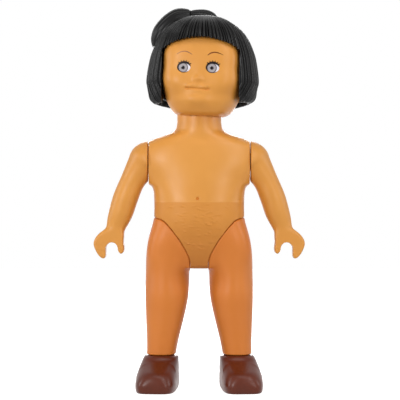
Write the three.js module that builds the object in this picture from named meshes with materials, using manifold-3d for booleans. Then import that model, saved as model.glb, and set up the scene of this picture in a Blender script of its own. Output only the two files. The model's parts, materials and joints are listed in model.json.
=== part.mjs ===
// A standing toy figure: turning head with moulded bob hair, swinging arms with clip hands,
// swinging legs and shoes that press onto large building-block studs.
// Millimetres, +Z up, the figure faces -Y, and its own left side is +X.
import * as THREE from 'three';
import { mergeVertices } from 'three/addons/utils/BufferGeometryUtils.js';
import Module from 'manifold-3d';

// Fits shared by all pieces
const fitGap = 0.3;
const wall = 1.8;
const pinRadius = 2.5;
const flangeThickness = 2;

// Shoes
const studPitch = 16;
const studDiameter = 9.6;
const studDepth = 5;
const shoeFloor = 2.1;
const shoeHalfWidth = 7.9;
const shoeOutset = 0.85;
const toeOutset = 1.2;
const shoeToe = 17.8;
const shoeHeel = 8.1;
const collarHeight = 13.2;
const collarHalfWidth = 5.7;
const footSplay = 4.2;
const studAhead = 5.2;

// Legs
const hipHeight = 52;
const plugRadius = 4.1;
const ankleHalfWidth = 5.6;
const ankleHalfDepth = 5.7;
const kneeHalfDepth = 7.2;
const thighHalfDepth = 8.6;
const thighInner = 3.4;
const thighOuter = 21;
const hipTopOuter = 17.2;
const seatBack = 1.6;

// Hip cut, a surface turned about the hip axle
const crotchHalfWidth = 3.45;
const hipDiscRadius = 7.7;
const hipFlare = 14.4;
const hipRadius = 15.8;
const hipRimRadius = 14.6;
const hipBossLength = 5;
const axleRadius = 2;
const bushWall = 1.6;
const bushLength = 8;

// Torso, with heights measured from the hip axle
const crotchDrop = 5;
const crotchHalfDepth = 6.6;
const shoulderRise = 36.5;
const neckRise = 58;
const torsoHalfWidth = 17.5;
const bellyDepth = 12.2;
const backDepth = 11.4;
const chestDepth = 10.4;
const shoulderHalfSpan = 19.6;
const shoulderSwell = 24;
const neckRadius = 8.7;
const bossRadius = 3.2;
const pegRadius = 1.6;
const pegLength = 5;

// Arms, measured from the shoulder pin
const shoulderRadius = 7.5;
const foreArmRadius = 4.7;
const wristRadius = 3.9;
const armReach = 12.9;
const armDrop = 25.6;
const armPinDepth = 5;
const handThickness = 5.8;
const handRounding = 0.5;
const gripRadius = 2.4;
const gripAside = 1.5;
const gripDrop = 8.3;
const knuckleAside = 8.6;

// Head, with heights measured from the top of the neck
const headTurn = 5;
const headTilt = 1.5;
const headShift = 1.2;
const chinDrop = 4.2;
const skullRise = 32;
const faceHalfWidth = 15.3;
const faceDepth = 15.9;
const skullBack = 15.8;
const headFloor = 2.6;
const headCavityRadius = 10;
const skullOpening = 7;
const skullRoof = 7.8;
const noseRise = 9.6;
const noseRadius = 2.1;

// Hair
const hairHem = 0.9;
const hairCrown = 35.3;
const hairHalfWidth = 22.1;
const hairFront = 17.6;
const hairBack = 19.6;
const hairNapeDrop = 1.8;
const hemSlope = 0.03;
const hairSteps = 72;
const strandCount = 24;
const strandDepth = 0.55;
const fringeRise = 24.9;
const fringeEndRise = 21.8;
const fringeCorner = 0.65;
const openingHalfWidth = 14.9;
const napeClearance = 11.6;
const tailSteps = 12;
const tailTieRadius = 2.5;
const tailLobeRadius = 5.2;

// Fineness of the outlines, and how square an oval is: 2 is a true ellipse
const bodyPower = 2.3;
const flankPower = 2.45;
const hairPower = 2.2;
const facePower = 2.6;
const cheekPower = 3.8;
const thighPower = 2.6;
const shoePower = 4.5;
const toePower = 2.8;
const limbPower = 2.15;
const roundPower = 2;
const swingPower = 1.6;
const ringSteps = 24;
const armSteps = 16;
const roundSteps = 16;
const hipSteps = 24;
const reach = 60;

const wasm = await Module();
wasm.setup();

function toSolid(geometry) {
  const bare = geometry.clone();
  bare.deleteAttribute('normal');
  bare.deleteAttribute('uv');
  const merged = mergeVertices(bare, 1e-4);
  const vertProperties = new Float32Array(merged.attributes.position.array);
  const triVerts = new Uint32Array(merged.index.array);
  return new wasm.Manifold(new wasm.Mesh({ numProp: 3, vertProperties, triVerts }));
}

function toMesh(name, solid, material) {
  const { vertProperties, triVerts } = solid.getMesh();
  const geometry = new THREE.BufferGeometry();
  geometry.setAttribute('position', new THREE.BufferAttribute(vertProperties, 3));
  geometry.setIndex(new THREE.BufferAttribute(triVerts, 1));
  geometry.computeVertexNormals();
  const mesh = new THREE.Mesh(geometry, material);
  mesh.name = name;
  return mesh;
}

// Rows of numbers made smooth: a Catmull-Rom curve through the given rows.
function smoothRows(rows, stepsPerSpan) {
  const blend = (before, start, end, after, t) => {
    const slopeIn = (end - before) / 2;
    const slopeOut = (after - start) / 2;
    const cubic = 2 * start - 2 * end + slopeIn + slopeOut;
    const square = 3 * end - 3 * start - 2 * slopeIn - slopeOut;
    return ((cubic * t + square) * t + slopeIn) * t + start;
  };
  const smooth = [];
  for (let span = 0; span < rows.length - 1; span += 1) {
    const before = rows[Math.max(span - 1, 0)];
    const after = rows[Math.min(span + 2, rows.length - 1)];
    for (let step = 0; step < stepsPerSpan; step += 1) {
      const t = step / stepsPerSpan;
      smooth.push(rows[span].map((start, k) => blend(before[k], start, rows[span + 1][k], after[k], t)));
    }
  }
  smooth.push(rows[rows.length - 1]);
  return smooth;
}

// A closed skin over rings with equally many points, and a fan over each end.
function skin(rings) {
  const count = rings[0].length;
  const points = rings.flat();
  const indices = [];
  for (let ring = 0; ring < rings.length - 1; ring += 1) {
    for (let k = 0; k < count; k += 1) {
      const a = ring * count + k;
      const b = ring * count + ((k + 1) % count);
      indices.push(a, b, b + count, a, b + count, a + count);
    }
  }
  const middle = (ring) => ring.reduce((sum, p) => sum.add(p), new THREE.Vector3()).divideScalar(count);
  const first = points.push(middle(rings[0])) - 1;
  const last = points.push(middle(rings[rings.length - 1])) - 1;
  const lastRing = (rings.length - 1) * count;
  for (let k = 0; k < count; k += 1) {
    const next = (k + 1) % count;
    indices.push(first, next, k);
    indices.push(last, lastRing + k, lastRing + next);
  }
  let volume = 0;
  for (let k = 0; k < indices.length; k += 3) {
    const [a, b, c] = indices.slice(k, k + 3).map((index) => points[index]);
    volume += a.dot(new THREE.Vector3().crossVectors(b, c));
  }
  if (volume < 0) {
    indices.reverse();
  }
  const geometry = new THREE.BufferGeometry().setFromPoints(points);
  geometry.setIndex(indices);
  return toSolid(geometry);
}

// One level outline: a rounded oval with its own front and back depth, and if need be its own left half.
function oval({ z, x = 0, y = 0, halfWidth, front, back, power = bodyPower, leftPower = power, steps = ringSteps }) {
  const ring = [];
  for (let k = 0; k < steps; k += 1) {
    const angle = (2 * Math.PI * k) / steps;
    const rounding = 2 / (Math.cos(angle) > 0 ? leftPower : power);
    const across = Math.sign(Math.cos(angle)) * Math.abs(Math.cos(angle)) ** rounding;
    const along = Math.sign(Math.sin(angle)) * Math.abs(Math.sin(angle)) ** rounding;
    const depth = along < 0 ? front : back;
    ring.push(new THREE.Vector3(x + halfWidth * across, y + depth * along, z));
  }
  return ring;
}

// A round rod between two places along the X, Y or Z axis.
function rod(axis, radius, from, to, centre = [0, 0, 0]) {
  const geometry = new THREE.CylinderGeometry(radius, radius, to - from, roundSteps);
  geometry.translate(0, (from + to) / 2, 0);
  if (axis === 'x') {
    geometry.rotateZ(-Math.PI / 2);
  }
  if (axis === 'z') {
    geometry.rotateX(Math.PI / 2);
  }
  geometry.translate(...centre);
  return toSolid(geometry);
}

function block(xRange, yRange, zRange) {
  const size = [xRange, yRange, zRange].map(([low, high]) => high - low);
  const centre = [xRange, yRange, zRange].map(([low, high]) => (low + high) / 2);
  return toSolid(new THREE.BoxGeometry(...size).translate(...centre));
}

function plastic(color, roughness) {
  return new THREE.MeshStandardMaterial({ color, roughness, metalness: 0 });
}

const skinPlastic = plastic(0xe0a055, 0.5);
const legPlastic = plastic(0xcf8440, 0.45);
const hairPlastic = plastic(0x232223, 0.45);
const shoePlastic = plastic(0x5a2a1c, 0.25);
const pinPlastic = plastic(0xe8e4da, 0.4);

// The hip's turned surface on one side, drawn in by the given gap on the leg, or grown for walls.
function hipTurning(side, inset) {
  const rise = hipRadius - hipDiscRadius;
  const flare = hipFlare - crotchHalfWidth;
  const bend = smoothRows([
    [hipDiscRadius, crotchHalfWidth],
    [hipDiscRadius + rise * 0.2, crotchHalfWidth + flare * 0.17],
    [hipDiscRadius + rise * 0.56, crotchHalfWidth + flare * 0.46],
    [hipDiscRadius + rise * 0.89, crotchHalfWidth + flare * 0.77],
    [hipRadius, hipFlare],
    [hipRimRadius, hipFlare + flare * 0.33],
  ], 2).map(([radius, along]) => [radius - inset, along + inset]);
  const outline = [
    [0, crotchHalfWidth + inset],
    ...bend,
    [hipRimRadius - inset, reach],
    [0, reach],
  ].map(([radius, along]) => new THREE.Vector2(radius, along));
  const geometry = new THREE.LatheGeometry(outline, hipSteps);
  geometry.rotateZ(-side * Math.PI / 2);
  return toSolid(geometry);
}

// Torso outline, drawn in by a wall for the hollow inside
function torsoForm(inset, stepsPerSpan) {
  const upper = neckRise - shoulderRise;
  const rows = smoothRows([
    [-crotchDrop, torsoHalfWidth * 0.5, crotchHalfDepth, crotchHalfDepth, bodyPower],
    [0, torsoHalfWidth * 0.8, bellyDepth * 0.71, backDepth * 0.79, bodyPower],
    [shoulderRise * 0.14, torsoHalfWidth * 0.95, bellyDepth * 0.84, backDepth * 0.93, bodyPower],
    [shoulderRise * 0.34, torsoHalfWidth, bellyDepth * 0.98, backDepth, bodyPower],
    [shoulderRise * 0.56, torsoHalfWidth, bellyDepth, backDepth * 0.94, bodyPower],
    [shoulderRise * 0.715, torsoHalfWidth * 1.035, bellyDepth * 0.94, backDepth * 0.9, flankPower],
    [shoulderRise * 0.785, (torsoHalfWidth + shoulderSwell) / 2, chestDepth * 1.09, chestDepth, roundPower],
    [shoulderRise, shoulderSwell, chestDepth, chestDepth * 0.98, bodyPower],
    [shoulderRise + upper * 0.25, shoulderSwell * 0.955, chestDepth * 0.91, chestDepth * 0.9, bodyPower],
    [shoulderRise + upper * 0.39, shoulderSwell * 0.755, chestDepth * 0.84, chestDepth * 0.84, bodyPower],
    [shoulderRise + upper * 0.52, neckRadius * 1.22, neckRadius, neckRadius, roundPower],
    [shoulderRise + upper * 0.66, neckRadius, neckRadius, neckRadius, roundPower],
    [neckRise, neckRadius, neckRadius, neckRadius, roundPower],
  ], stepsPerSpan);
  const rings = rows.map(([z, halfWidth, front, back, power]) => oval({
    z,
    halfWidth: halfWidth - inset,
    front: front - inset,
    back: back - inset,
    power,
  }));
  const side = shoulderHalfSpan - inset;
  return skin(rings).intersect(block([-side, side], [-reach, reach], [-reach, neckRise + reach]));
}

const cavityFloor = hipDiscRadius + wall + 1;
const neckRoof = neckRise - 2 * wall;
const bossRises = [shoulderRise * 0.5, shoulderRise * 1.16];

function torsoShell() {
  const outer = torsoForm(0, 2);
  let cavity = torsoForm(wall, 1).intersect(block([-reach, reach], [-reach, reach], [cavityFloor, neckRoof]));
  let shell = outer;
  for (const side of [-1, 1]) {
    cavity = cavity.subtract(hipTurning(side, -wall));
    shell = shell.subtract(hipTurning(side, 0));
  }
  shell = shell.subtract(cavity);
  for (const rise of bossRises) {
    shell = shell.add(rod('y', bossRadius, -reach, reach, [0, 0, rise]).intersect(outer));
  }
  shell = shell.subtract(rod('x', axleRadius + fitGap, -reach, reach));
  shell = shell.subtract(rod('x', pinRadius + fitGap, -reach, -bossRadius - wall, [0, 0, shoulderRise]));
  shell = shell.subtract(rod('x', pinRadius + fitGap, bossRadius + wall, reach, [0, 0, shoulderRise]));
  return shell.subtract(rod('z', pinRadius + fitGap, neckRoof - wall, neckRise + wall));
}

function makeTorso() {
  const shell = torsoShell();
  const seam = fitGap / 2;
  const frontSpace = block([-reach, reach], [-reach, -seam], [-reach, 2 * reach]);
  const backSpace = block([-reach, reach], [seam, reach], [-reach, 2 * reach]);
  let front = shell.intersect(frontSpace);
  let back = shell.intersect(backSpace);
  for (const rise of bossRises) {
    front = front.subtract(rod('y', pegRadius + fitGap, -pegLength - fitGap, reach, [0, 0, rise]));
    back = back.add(rod('y', pegRadius, -pegLength, seam + wall, [0, 0, rise]));
  }
  const torso = new THREE.Group();
  torso.add(toMesh('torso_front', front, skinPlastic));
  torso.add(toMesh('torso_back', back, skinPlastic));
  const axleHalf = crotchHalfWidth + fitGap + bushLength;
  torso.add(toMesh('hip_axle', rod('x', axleRadius, -axleHalf, axleHalf), pinPlastic));
  torso.add(toMesh('neck_pin', makeNeckPin(), pinPlastic));
  return torso;
}

// The neck pin hangs by its head in the skull and is held below by a flange in the neck.
const bushFlange = 1.2;
const pinHeadRise = neckRise + fitGap + headFloor + fitGap + bushFlange + fitGap;

function makeNeckPin() {
  const flangeTop = neckRoof - fitGap;
  const flange = rod('z', pinRadius * 1.9, flangeTop - flangeThickness, flangeTop);
  const shaft = rod('z', pinRadius, flangeTop - flangeThickness / 2, pinHeadRise + flangeThickness / 2);
  const head = rod('z', pinRadius * 1.7, pinHeadRise, pinHeadRise + flangeThickness);
  return flange.add(shaft).add(head);
}

function makeLeg(side) {
  const ankleDrop = hipHeight - collarHeight - fitGap;
  const topRise = hipRadius * 1.02;
  const ankleX = ankleCentre();
  const rows = smoothRows([
    [-ankleDrop, ankleX - ankleHalfWidth, ankleX + ankleHalfWidth, ankleHalfDepth, 0, limbPower],
    [-ankleDrop * 0.85, ankleX - ankleHalfWidth * 1.2, ankleX + ankleHalfWidth, ankleHalfDepth * 1.08, 0, limbPower],
    [-ankleDrop * 0.57, thighInner + 2, thighOuter - 0.2, kneeHalfDepth, 0, roundPower],
    [-ankleDrop * 0.4, thighInner + 0.8, thighOuter, thighHalfDepth * 0.93, 0, (swingPower + roundPower) / 2],
    [-ankleDrop * 0.2, thighInner + 0.5, thighOuter, thighHalfDepth * 0.93, seatBack, swingPower],
    [0, thighInner, thighOuter - 0.3, thighHalfDepth, 0, thighPower],
    [topRise * 0.4, thighInner, (thighOuter + hipTopOuter) / 2 + 0.7, thighHalfDepth * 1.1, 0, thighPower],
    [topRise * 0.75, thighInner, hipTopOuter + 1, thighHalfDepth * 1.07, 0, limbPower],
    [topRise, thighInner, hipTopOuter, thighHalfDepth * 1.05, 0, limbPower],
  ], 2);
  const rings = rows.map(([z, inner, outer, halfDepth, behind, innerPower]) => {
    const outerPower = Math.max(innerPower, roundPower);
    return oval({
      z,
      x: (side * (inner + outer)) / 2,
      y: behind,
      halfWidth: (outer - inner) / 2,
      front: halfDepth + behind,
      back: halfDepth - behind,
      power: side > 0 ? innerPower : outerPower,
      leftPower: side > 0 ? outerPower : innerPower,
    });
  });
  const below = block([-reach, reach], [-reach, reach], [-reach, -hipDiscRadius]);
  const swingSpace = hipTurning(side, fitGap).add(below);
  const bossStart = side * (crotchHalfWidth + fitGap);
  const bossEnd = bossStart + side * hipBossLength;
  const boreRadius = axleRadius + 2 * fitGap + bushWall;
  const boss = rod('x', boreRadius + wall, Math.min(bossStart, bossEnd), Math.max(bossStart, bossEnd));
  const boreEnd = crotchHalfWidth + 2 * fitGap + bushLength;
  const bore = rod('x', boreRadius, Math.min(0, side * boreEnd), Math.max(0, side * boreEnd));
  const plugTop = -ankleDrop + wall;
  const plug = rod('z', plugRadius, plugBottom() - hipHeight, plugTop, [side * ankleX, 0, 0]);
  return skin(rings).intersect(swingSpace).add(boss).add(plug).subtract(bore);
}

function ankleCentre() {
  const splay = THREE.MathUtils.degToRad(footSplay);
  return studPitch - shoeOutset * Math.cos(splay) - studAhead * Math.sin(splay);
}

function plugBottom() {
  return studDepth + shoeFloor + fitGap;
}

function makeHipBush(side) {
  const start = side * (crotchHalfWidth + fitGap);
  const end = side * (crotchHalfWidth + fitGap + bushLength);
  const low = Math.min(start, end);
  const high = Math.max(start, end);
  const tube = rod('x', axleRadius + fitGap + bushWall, low, high);
  return tube.subtract(rod('x', axleRadius + fitGap, low - wall, high + wall));
}

function makeShoe(side) {
  const rows = smoothRows([
    [0, toeOutset, shoeHalfWidth * 0.94, shoeToe * 0.965, shoeHeel * 0.94, shoePower],
    [studDepth * 0.2, toeOutset, shoeHalfWidth * 0.985, shoeToe * 0.99, shoeHeel * 0.98, shoePower],
    [studDepth * 0.62, toeOutset, shoeHalfWidth, shoeToe, shoeHeel, shoePower],
    [collarHeight * 0.4, toeOutset * 0.95, shoeHalfWidth, shoeToe * 0.985, shoeHeel, (shoePower + toePower) / 2],
    [collarHeight * 0.5, toeOutset * 0.85, shoeHalfWidth * 0.985, shoeToe * 0.93, shoeHeel * 0.99, toePower],
    [collarHeight * 0.58, toeOutset * 0.7, shoeHalfWidth * 0.965, shoeToe * 0.8, shoeHeel * 0.98, toePower],
    [collarHeight * 0.67, toeOutset * 0.55, shoeHalfWidth * 0.94, shoeToe * 0.63, shoeHeel * 0.96, toePower],
    [collarHeight * 0.84, toeOutset * 0.25, shoeHalfWidth * 0.88, collarHalfWidth * 1.42, shoeHeel * 0.92, toePower],
    [collarHeight * 0.95, 0, shoeHalfWidth * 0.4 + collarHalfWidth * 0.6, collarHalfWidth * 1.2,
      collarHalfWidth * 1.2, bodyPower],
    [collarHeight, 0, collarHalfWidth, collarHalfWidth * 1.06, collarHalfWidth * 1.08, bodyPower],
  ], 1);
  const rings = rows.map(([z, outset, halfWidth, front, back, power]) => oval({
    z,
    x: side * outset,
    halfWidth,
    front,
    back,
    power,
  }));
  const studSocket = rod('z', studDiameter / 2, -wall, studDepth, [side * shoeOutset, -studAhead, 0]);
  const plugSocket = rod('z', plugRadius + fitGap, studDepth + shoeFloor, collarHeight + wall);
  return skin(rings).subtract(studSocket).subtract(plugSocket);
}

// The hand's outline seen from the front: a thick finger and a slim thumb round an open grip
function makeHand(side) {
  const knuckle = armReach + knuckleAside;
  const gripX = armReach + gripAside;
  const gripZ = -armDrop - gripDrop;
  const gripArc = [20, 60, 105, 150, 185].map((degrees) => {
    const angle = THREE.MathUtils.degToRad(degrees);
    return [gripX + gripRadius * Math.cos(angle), gripZ + gripRadius * Math.sin(angle)];
  });
  const outline = [
    [armReach + 3.4, -armDrop - 0.4],
    [knuckle - 1.4, -armDrop - 3.2],
    [knuckle, -armDrop - 6.3],
    [knuckle - 1, -armDrop - 9.5],
    [knuckle - 2.6, -armDrop - 11.7],
    [knuckle - 4.1, -armDrop - 12.3],
    [gripX + gripRadius, gripZ - 2.9],
    [gripX + gripRadius, gripZ - 1.2],
    ...gripArc,
    [gripX - gripRadius - 0.4, gripZ - 1.4],
    [armReach - 2, -armDrop - 10.5],
    [armReach - 3, -armDrop - 9.8],
    [armReach - 3.3, -armDrop - 8.2],
    [armReach - 3, -armDrop - 5.8],
    [armReach - 3.2, -armDrop - 2.4],
    [armReach - 2, -armDrop],
  ].map(([across, up]) => new THREE.Vector3(side * across, up, 0));
  const curve = new THREE.CatmullRomCurve3(outline, true);
  const shape = new THREE.Shape(curve.getSpacedPoints(44).slice(0, -1).map((p) => new THREE.Vector2(p.x, p.y)));
  const geometry = new THREE.ExtrudeGeometry(shape, {
    depth: handThickness - 2 * handRounding,
    bevelThickness: handRounding,
    bevelSize: handRounding,
    bevelOffset: -handRounding,
    bevelSegments: 2,
    steps: 1,
  });
  geometry.translate(0, 0, handRounding - handThickness / 2);
  geometry.rotateX(Math.PI / 2);
  return toSolid(geometry);
}

// The arm is a bent, tapering limb; its shoulder end is cut flat beside the torso.
function makeArm(side) {
  const rows = smoothRows([
    [-3, 0.6, shoulderRadius, 1],
    [armReach * 0.06, -0.1, shoulderRadius, 1],
    [armReach * 0.23, -armDrop * 0.09, shoulderRadius * 0.81, 1],
    [armReach * 0.49, -armDrop * 0.3, foreArmRadius * 1.03, 1],
    [armReach * 0.7, -armDrop * 0.55, foreArmRadius * 1.04, 1],
    [armReach * 0.85, -armDrop * 0.79, foreArmRadius, 0.92],
    [armReach, -armDrop, wristRadius, 0.8],
    [armReach * 1.07, -armDrop * 1.13, wristRadius * 0.7, 0.8],
  ], 2);
  const rings = rows.map(([across, up, radius, depthShare], index) => {
    const before = rows[Math.max(index - 1, 0)];
    const after = rows[Math.min(index + 1, rows.length - 1)];
    const normal = new THREE.Vector2(after[1] - before[1], before[0] - after[0]).normalize();
    const ring = [];
    for (let k = 0; k < armSteps; k += 1) {
      const angle = (2 * Math.PI * k) / armSteps;
      const offset = radius * Math.cos(angle);
      const x = across + normal.x * offset;
      const depth = radius * depthShare * Math.sin(angle);
      ring.push(new THREE.Vector3(side * x, depth, up + normal.y * offset));
    }
    return ring;
  });
  const outside = block([Math.min(side * fitGap, side * reach), Math.max(side * fitGap, side * reach)],
    [-reach, reach], [-reach, reach]);
  const boreEnd = side * (armPinDepth + 2 * fitGap);
  const bore = rod('x', pinRadius + fitGap, Math.min(0, boreEnd), Math.max(0, boreEnd));
  return skin(rings).intersect(outside).add(makeHand(side)).subtract(bore);
}

function makeShoulderPin(side) {
  const flangeEnd = -wall - fitGap;
  const span = (from, to) => [Math.min(side * from, side * to), Math.max(side * from, side * to)];
  const flange = rod('x', pinRadius * 1.7, ...span(flangeEnd - flangeThickness, flangeEnd));
  return flange.add(rod('x', pinRadius, ...span(flangeEnd - flangeThickness / 2, fitGap + armPinDepth)));
}

// Skull outline, grown by the gap that the hair piece keeps to it
function skullForm(grow) {
  const height = chinDrop + skullRise;
  const rows = smoothRows([
    [0, 0.52, 0.66, 0.32, facePower],
    [0.035, 0.7, 0.83, 0.54, facePower],
    [0.13, 0.865, 0.945, 0.73, facePower],
    [0.23, 0.955, 0.98, 0.86, facePower],
    [0.37, 1, 1, 0.95, cheekPower],
    [0.5, 1, 0.98, 1, cheekPower],
    [0.67, 0.985, 0.96, 1, cheekPower],
    [0.83, 0.88, 0.88, 0.93, facePower],
    [0.94, 0.62, 0.64, 0.68, facePower],
    [1, 0.3, 0.3, 0.35, facePower],
  ], 2);
  return skin(rows.map(([share, across, ahead, behind, power]) => oval({
    z: -chinDrop + share * height + (share > 0.5 ? grow : -grow),
    x: headShift,
    halfWidth: faceHalfWidth * across + grow,
    front: faceDepth * ahead + grow,
    back: skullBack * behind + grow,
    power,
  })));
}

function tilted(solid) {
  const { vertProperties, triVerts } = solid.getMesh();
  const geometry = new THREE.BufferGeometry();
  geometry.setAttribute('position', new THREE.BufferAttribute(vertProperties, 3));
  geometry.setIndex(new THREE.BufferAttribute(triVerts, 1));
  return toSolid(geometry.rotateY(THREE.MathUtils.degToRad(headTilt)));
}

function makeHeadShell() {
  const nose = new THREE.SphereGeometry(noseRadius, 12, 8).scale(1.05, 1, 0.85);
  nose.translate(headShift, -faceDepth + noseRadius * 0.35, noseRise);
  const face = tilted(skullForm(0).add(toSolid(nose)));
  const floorTop = fitGap + headFloor;
  const cavityTop = skullRise - skullRoof;
  return face
    .subtract(rod('z', neckRadius + fitGap, -chinDrop - reach, fitGap))
    .subtract(rod('z', headCavityRadius, floorTop, cavityTop))
    .subtract(rod('z', skullOpening, cavityTop - wall, skullRise + reach))
    .subtract(rod('z', neckBushRadius() + fitGap, 0, floorTop + wall));
}

function neckBushRadius() {
  return pinRadius + fitGap + bushWall;
}

function makeNeckBush() {
  const floorTop = fitGap + headFloor;
  const sleeve = rod('z', neckBushRadius(), 2 * fitGap, floorTop + fitGap + bushFlange);
  const flange = rod('z', neckBushRadius() + wall, floorTop + fitGap, floorTop + fitGap + bushFlange);
  return sleeve.add(flange).subtract(rod('z', pinRadius + fitGap, -wall, skullRise));
}

// The bob: ovals from the hem to the crown, with moulded strands as grooves that fade out at the crown
function bobForm() {
  const height = hairCrown - hairHem;
  const rows = smoothRows([
    [0, 0.84, 0.7, 0.86],
    [0.04, 0.935, 0.82, 0.95],
    [0.13, 0.98, 0.91, 0.99],
    [0.27, 1, 0.98, 1],
    [0.5, 0.945, 1, 1],
    [0.64, 0.87, 1, 0.96],
    [0.74, 0.79, 0.97, 0.89],
    [0.83, 0.68, 0.87, 0.77],
    [0.91, 0.52, 0.69, 0.58],
    [0.97, 0.33, 0.43, 0.36],
    [1, 0.1, 0.13, 0.1],
  ], 1);
  const rings = rows.map(([share, across, ahead, behind]) => {
    const ring = oval({
      z: hairHem + share * height,
      x: headShift,
      halfWidth: hairHalfWidth * across,
      front: hairFront * ahead,
      back: hairBack * behind,
      power: hairPower,
      steps: hairSteps,
    });
    return ring.map((point, k) => {
      const angle = (2 * Math.PI * k) / hairSteps;
      const groove = strandDepth * (0.5 + 0.5 * Math.cos(strandCount * angle)) * Math.min(1, 2.5 * (1 - share));
      const outward = new THREE.Vector2(point.x - headShift, point.y);
      outward.setLength(outward.length() - Math.min(groove, outward.length() / 2));
      const nearHem = Math.max(0, 1 - 3 * share);
      const nape = hairNapeDrop * Math.max(0, Math.sin(angle)) ** 2 * nearHem;
      const slope = hemSlope * outward.x * nearHem;
      return new THREE.Vector3(headShift + outward.x, outward.y, point.z - nape + slope);
    });
  });
  return skin(rings);
}

// The tied tail lies over the crown: gathered hair, the tie's waist and a lobe that falls to the right side.
function tailForm() {
  const rows = smoothRows([
    [7.6, 7, hairCrown - 4.2, tailTieRadius * 0.7],
    [4.6, 8, hairCrown - 1.4, tailTieRadius * 1.15],
    [0.5, 9, hairCrown + 0.5, tailTieRadius * 1.25],
    [-4.4, 9.4, hairCrown + 0.8, tailTieRadius * 0.9],
    [-5.2, 9.5, hairCrown + 0.6, tailTieRadius * 1.2],
    [-9.8, 10, hairCrown - 0.4, tailLobeRadius * 0.92],
    [-14.7, 10, hairCrown - 5, tailLobeRadius * 0.96],
    [-17.5, 10, hairCrown - 8.8, tailLobeRadius * 0.73],
    [-18.8, 9.5, hairCrown - 11.8, tailLobeRadius * 0.3],
  ], 2);
  const path = rows.map(([x, y, z]) => new THREE.Vector3(x, y, z));
  const depthWay = new THREE.Vector3(0, 1, 0);
  const rings = path.map((centre, index) => {
    const before = path[Math.max(index - 1, 0)];
    const after = path[Math.min(index + 1, path.length - 1)];
    const along = after.clone().sub(before).normalize();
    const upward = new THREE.Vector3().crossVectors(along, depthWay).normalize();
    const sideways = new THREE.Vector3().crossVectors(upward, along);
    const ring = [];
    for (let k = 0; k < tailSteps; k += 1) {
      const angle = (2 * Math.PI * k) / tailSteps;
      ring.push(centre.clone()
        .addScaledVector(upward, rows[index][3] * Math.cos(angle))
        .addScaledVector(sideways, rows[index][3] * 1.15 * Math.sin(angle)));
    }
    return ring;
  });
  return skin(rings);
}

// The face opening: an arched fringe above and the straight inner edges of the side locks.
function faceOpening() {
  const shape = new THREE.Shape();
  const sideways = openingHalfWidth;
  shape.moveTo(-sideways, -reach);
  shape.lineTo(sideways, -reach);
  const cornerTop = fringeEndRise + fringeCorner;
  const cornerFoot = fringeEndRise - fringeCorner;
  shape.lineTo(sideways, cornerFoot);
  shape.quadraticCurveTo(sideways * 0.95, fringeEndRise, sideways * 0.8, cornerTop);
  shape.quadraticCurveTo(0, 2 * fringeRise - cornerTop, -sideways * 0.8, cornerTop);
  shape.quadraticCurveTo(-sideways * 0.95, fringeEndRise, -sideways, cornerFoot);
  const geometry = new THREE.ExtrudeGeometry(shape, { depth: reach, bevelEnabled: false, curveSegments: 6 });
  geometry.rotateX(Math.PI / 2);
  geometry.translate(headShift, 0, 0);
  return toSolid(geometry);
}

function makeHair() {
  const bob = bobForm().add(tailForm());
  const opened = bob.subtract(faceOpening()).subtract(skullForm(fitGap));
  return tilted(opened).subtract(rod('z', napeClearance, -reach, chinDrop + wall));
}

const figure = new THREE.Group();

const torso = makeTorso();
torso.position.z = hipHeight;
figure.add(torso);

const head = new THREE.Group();
head.position.z = neckRise;
head.rotation.z = THREE.MathUtils.degToRad(-headTurn);
head.add(toMesh('head', makeHeadShell(), skinPlastic));
head.add(toMesh('hair', makeHair(), hairPlastic));
head.add(toMesh('neck_bush', makeNeckBush(), pinPlastic));
torso.add(head);

for (const [name, side] of [['left', 1], ['right', -1]]) {
  const arm = new THREE.Group();
  arm.position.set(side * shoulderHalfSpan, 0, shoulderRise);
  arm.add(toMesh(`${name}_arm`, makeArm(side), skinPlastic));
  arm.add(toMesh(`${name}_shoulder_pin`, makeShoulderPin(side), pinPlastic));
  torso.add(arm);

  torso.add(toMesh(`${name}_leg`, makeLeg(side), legPlastic));
  torso.add(toMesh(`${name}_hip_bush`, makeHipBush(side), pinPlastic));

  const shoe = toMesh(`${name}_shoe`, makeShoe(side), shoePlastic);
  shoe.position.x = side * ankleCentre();
  shoe.rotation.z = side * THREE.MathUtils.degToRad(footSplay);
  figure.add(shoe);
}

// The origin is on the ground, under the middle of the figure's box.
figure.updateMatrixWorld(true);
const middle = new THREE.Box3().setFromObject(figure, true).getCenter(new THREE.Vector3());
figure.position.set(-middle.x, -middle.y, 0);

export default figure;
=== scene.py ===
import json
import math

import bpy
import numpy as np
from mathutils import Matrix, Vector
from mathutils.bvhtree import BVHTree


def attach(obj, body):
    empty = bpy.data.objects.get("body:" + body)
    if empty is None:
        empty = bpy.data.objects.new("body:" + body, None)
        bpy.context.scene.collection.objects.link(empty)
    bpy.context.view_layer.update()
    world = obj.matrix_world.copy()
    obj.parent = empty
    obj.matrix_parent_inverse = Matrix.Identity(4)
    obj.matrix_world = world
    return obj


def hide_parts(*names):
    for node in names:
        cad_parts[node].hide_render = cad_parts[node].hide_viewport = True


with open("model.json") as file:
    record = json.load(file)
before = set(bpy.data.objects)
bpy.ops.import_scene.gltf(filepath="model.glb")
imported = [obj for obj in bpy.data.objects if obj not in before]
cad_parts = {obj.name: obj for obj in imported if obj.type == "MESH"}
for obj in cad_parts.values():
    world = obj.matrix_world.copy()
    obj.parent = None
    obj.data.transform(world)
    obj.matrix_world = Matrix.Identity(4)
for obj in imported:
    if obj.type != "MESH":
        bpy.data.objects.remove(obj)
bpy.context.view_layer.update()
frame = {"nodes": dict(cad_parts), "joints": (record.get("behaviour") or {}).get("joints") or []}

# Sizes are in millimetres, in the figure's frame: +Z up, facing -Y, its own left side at +X.
MM = 0.001
JOINTS = {joint["name"]: joint for joint in frame["joints"]}
FIGURE_Y = JOINTS["head_turn"]["pos_m"][1] / MM
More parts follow.
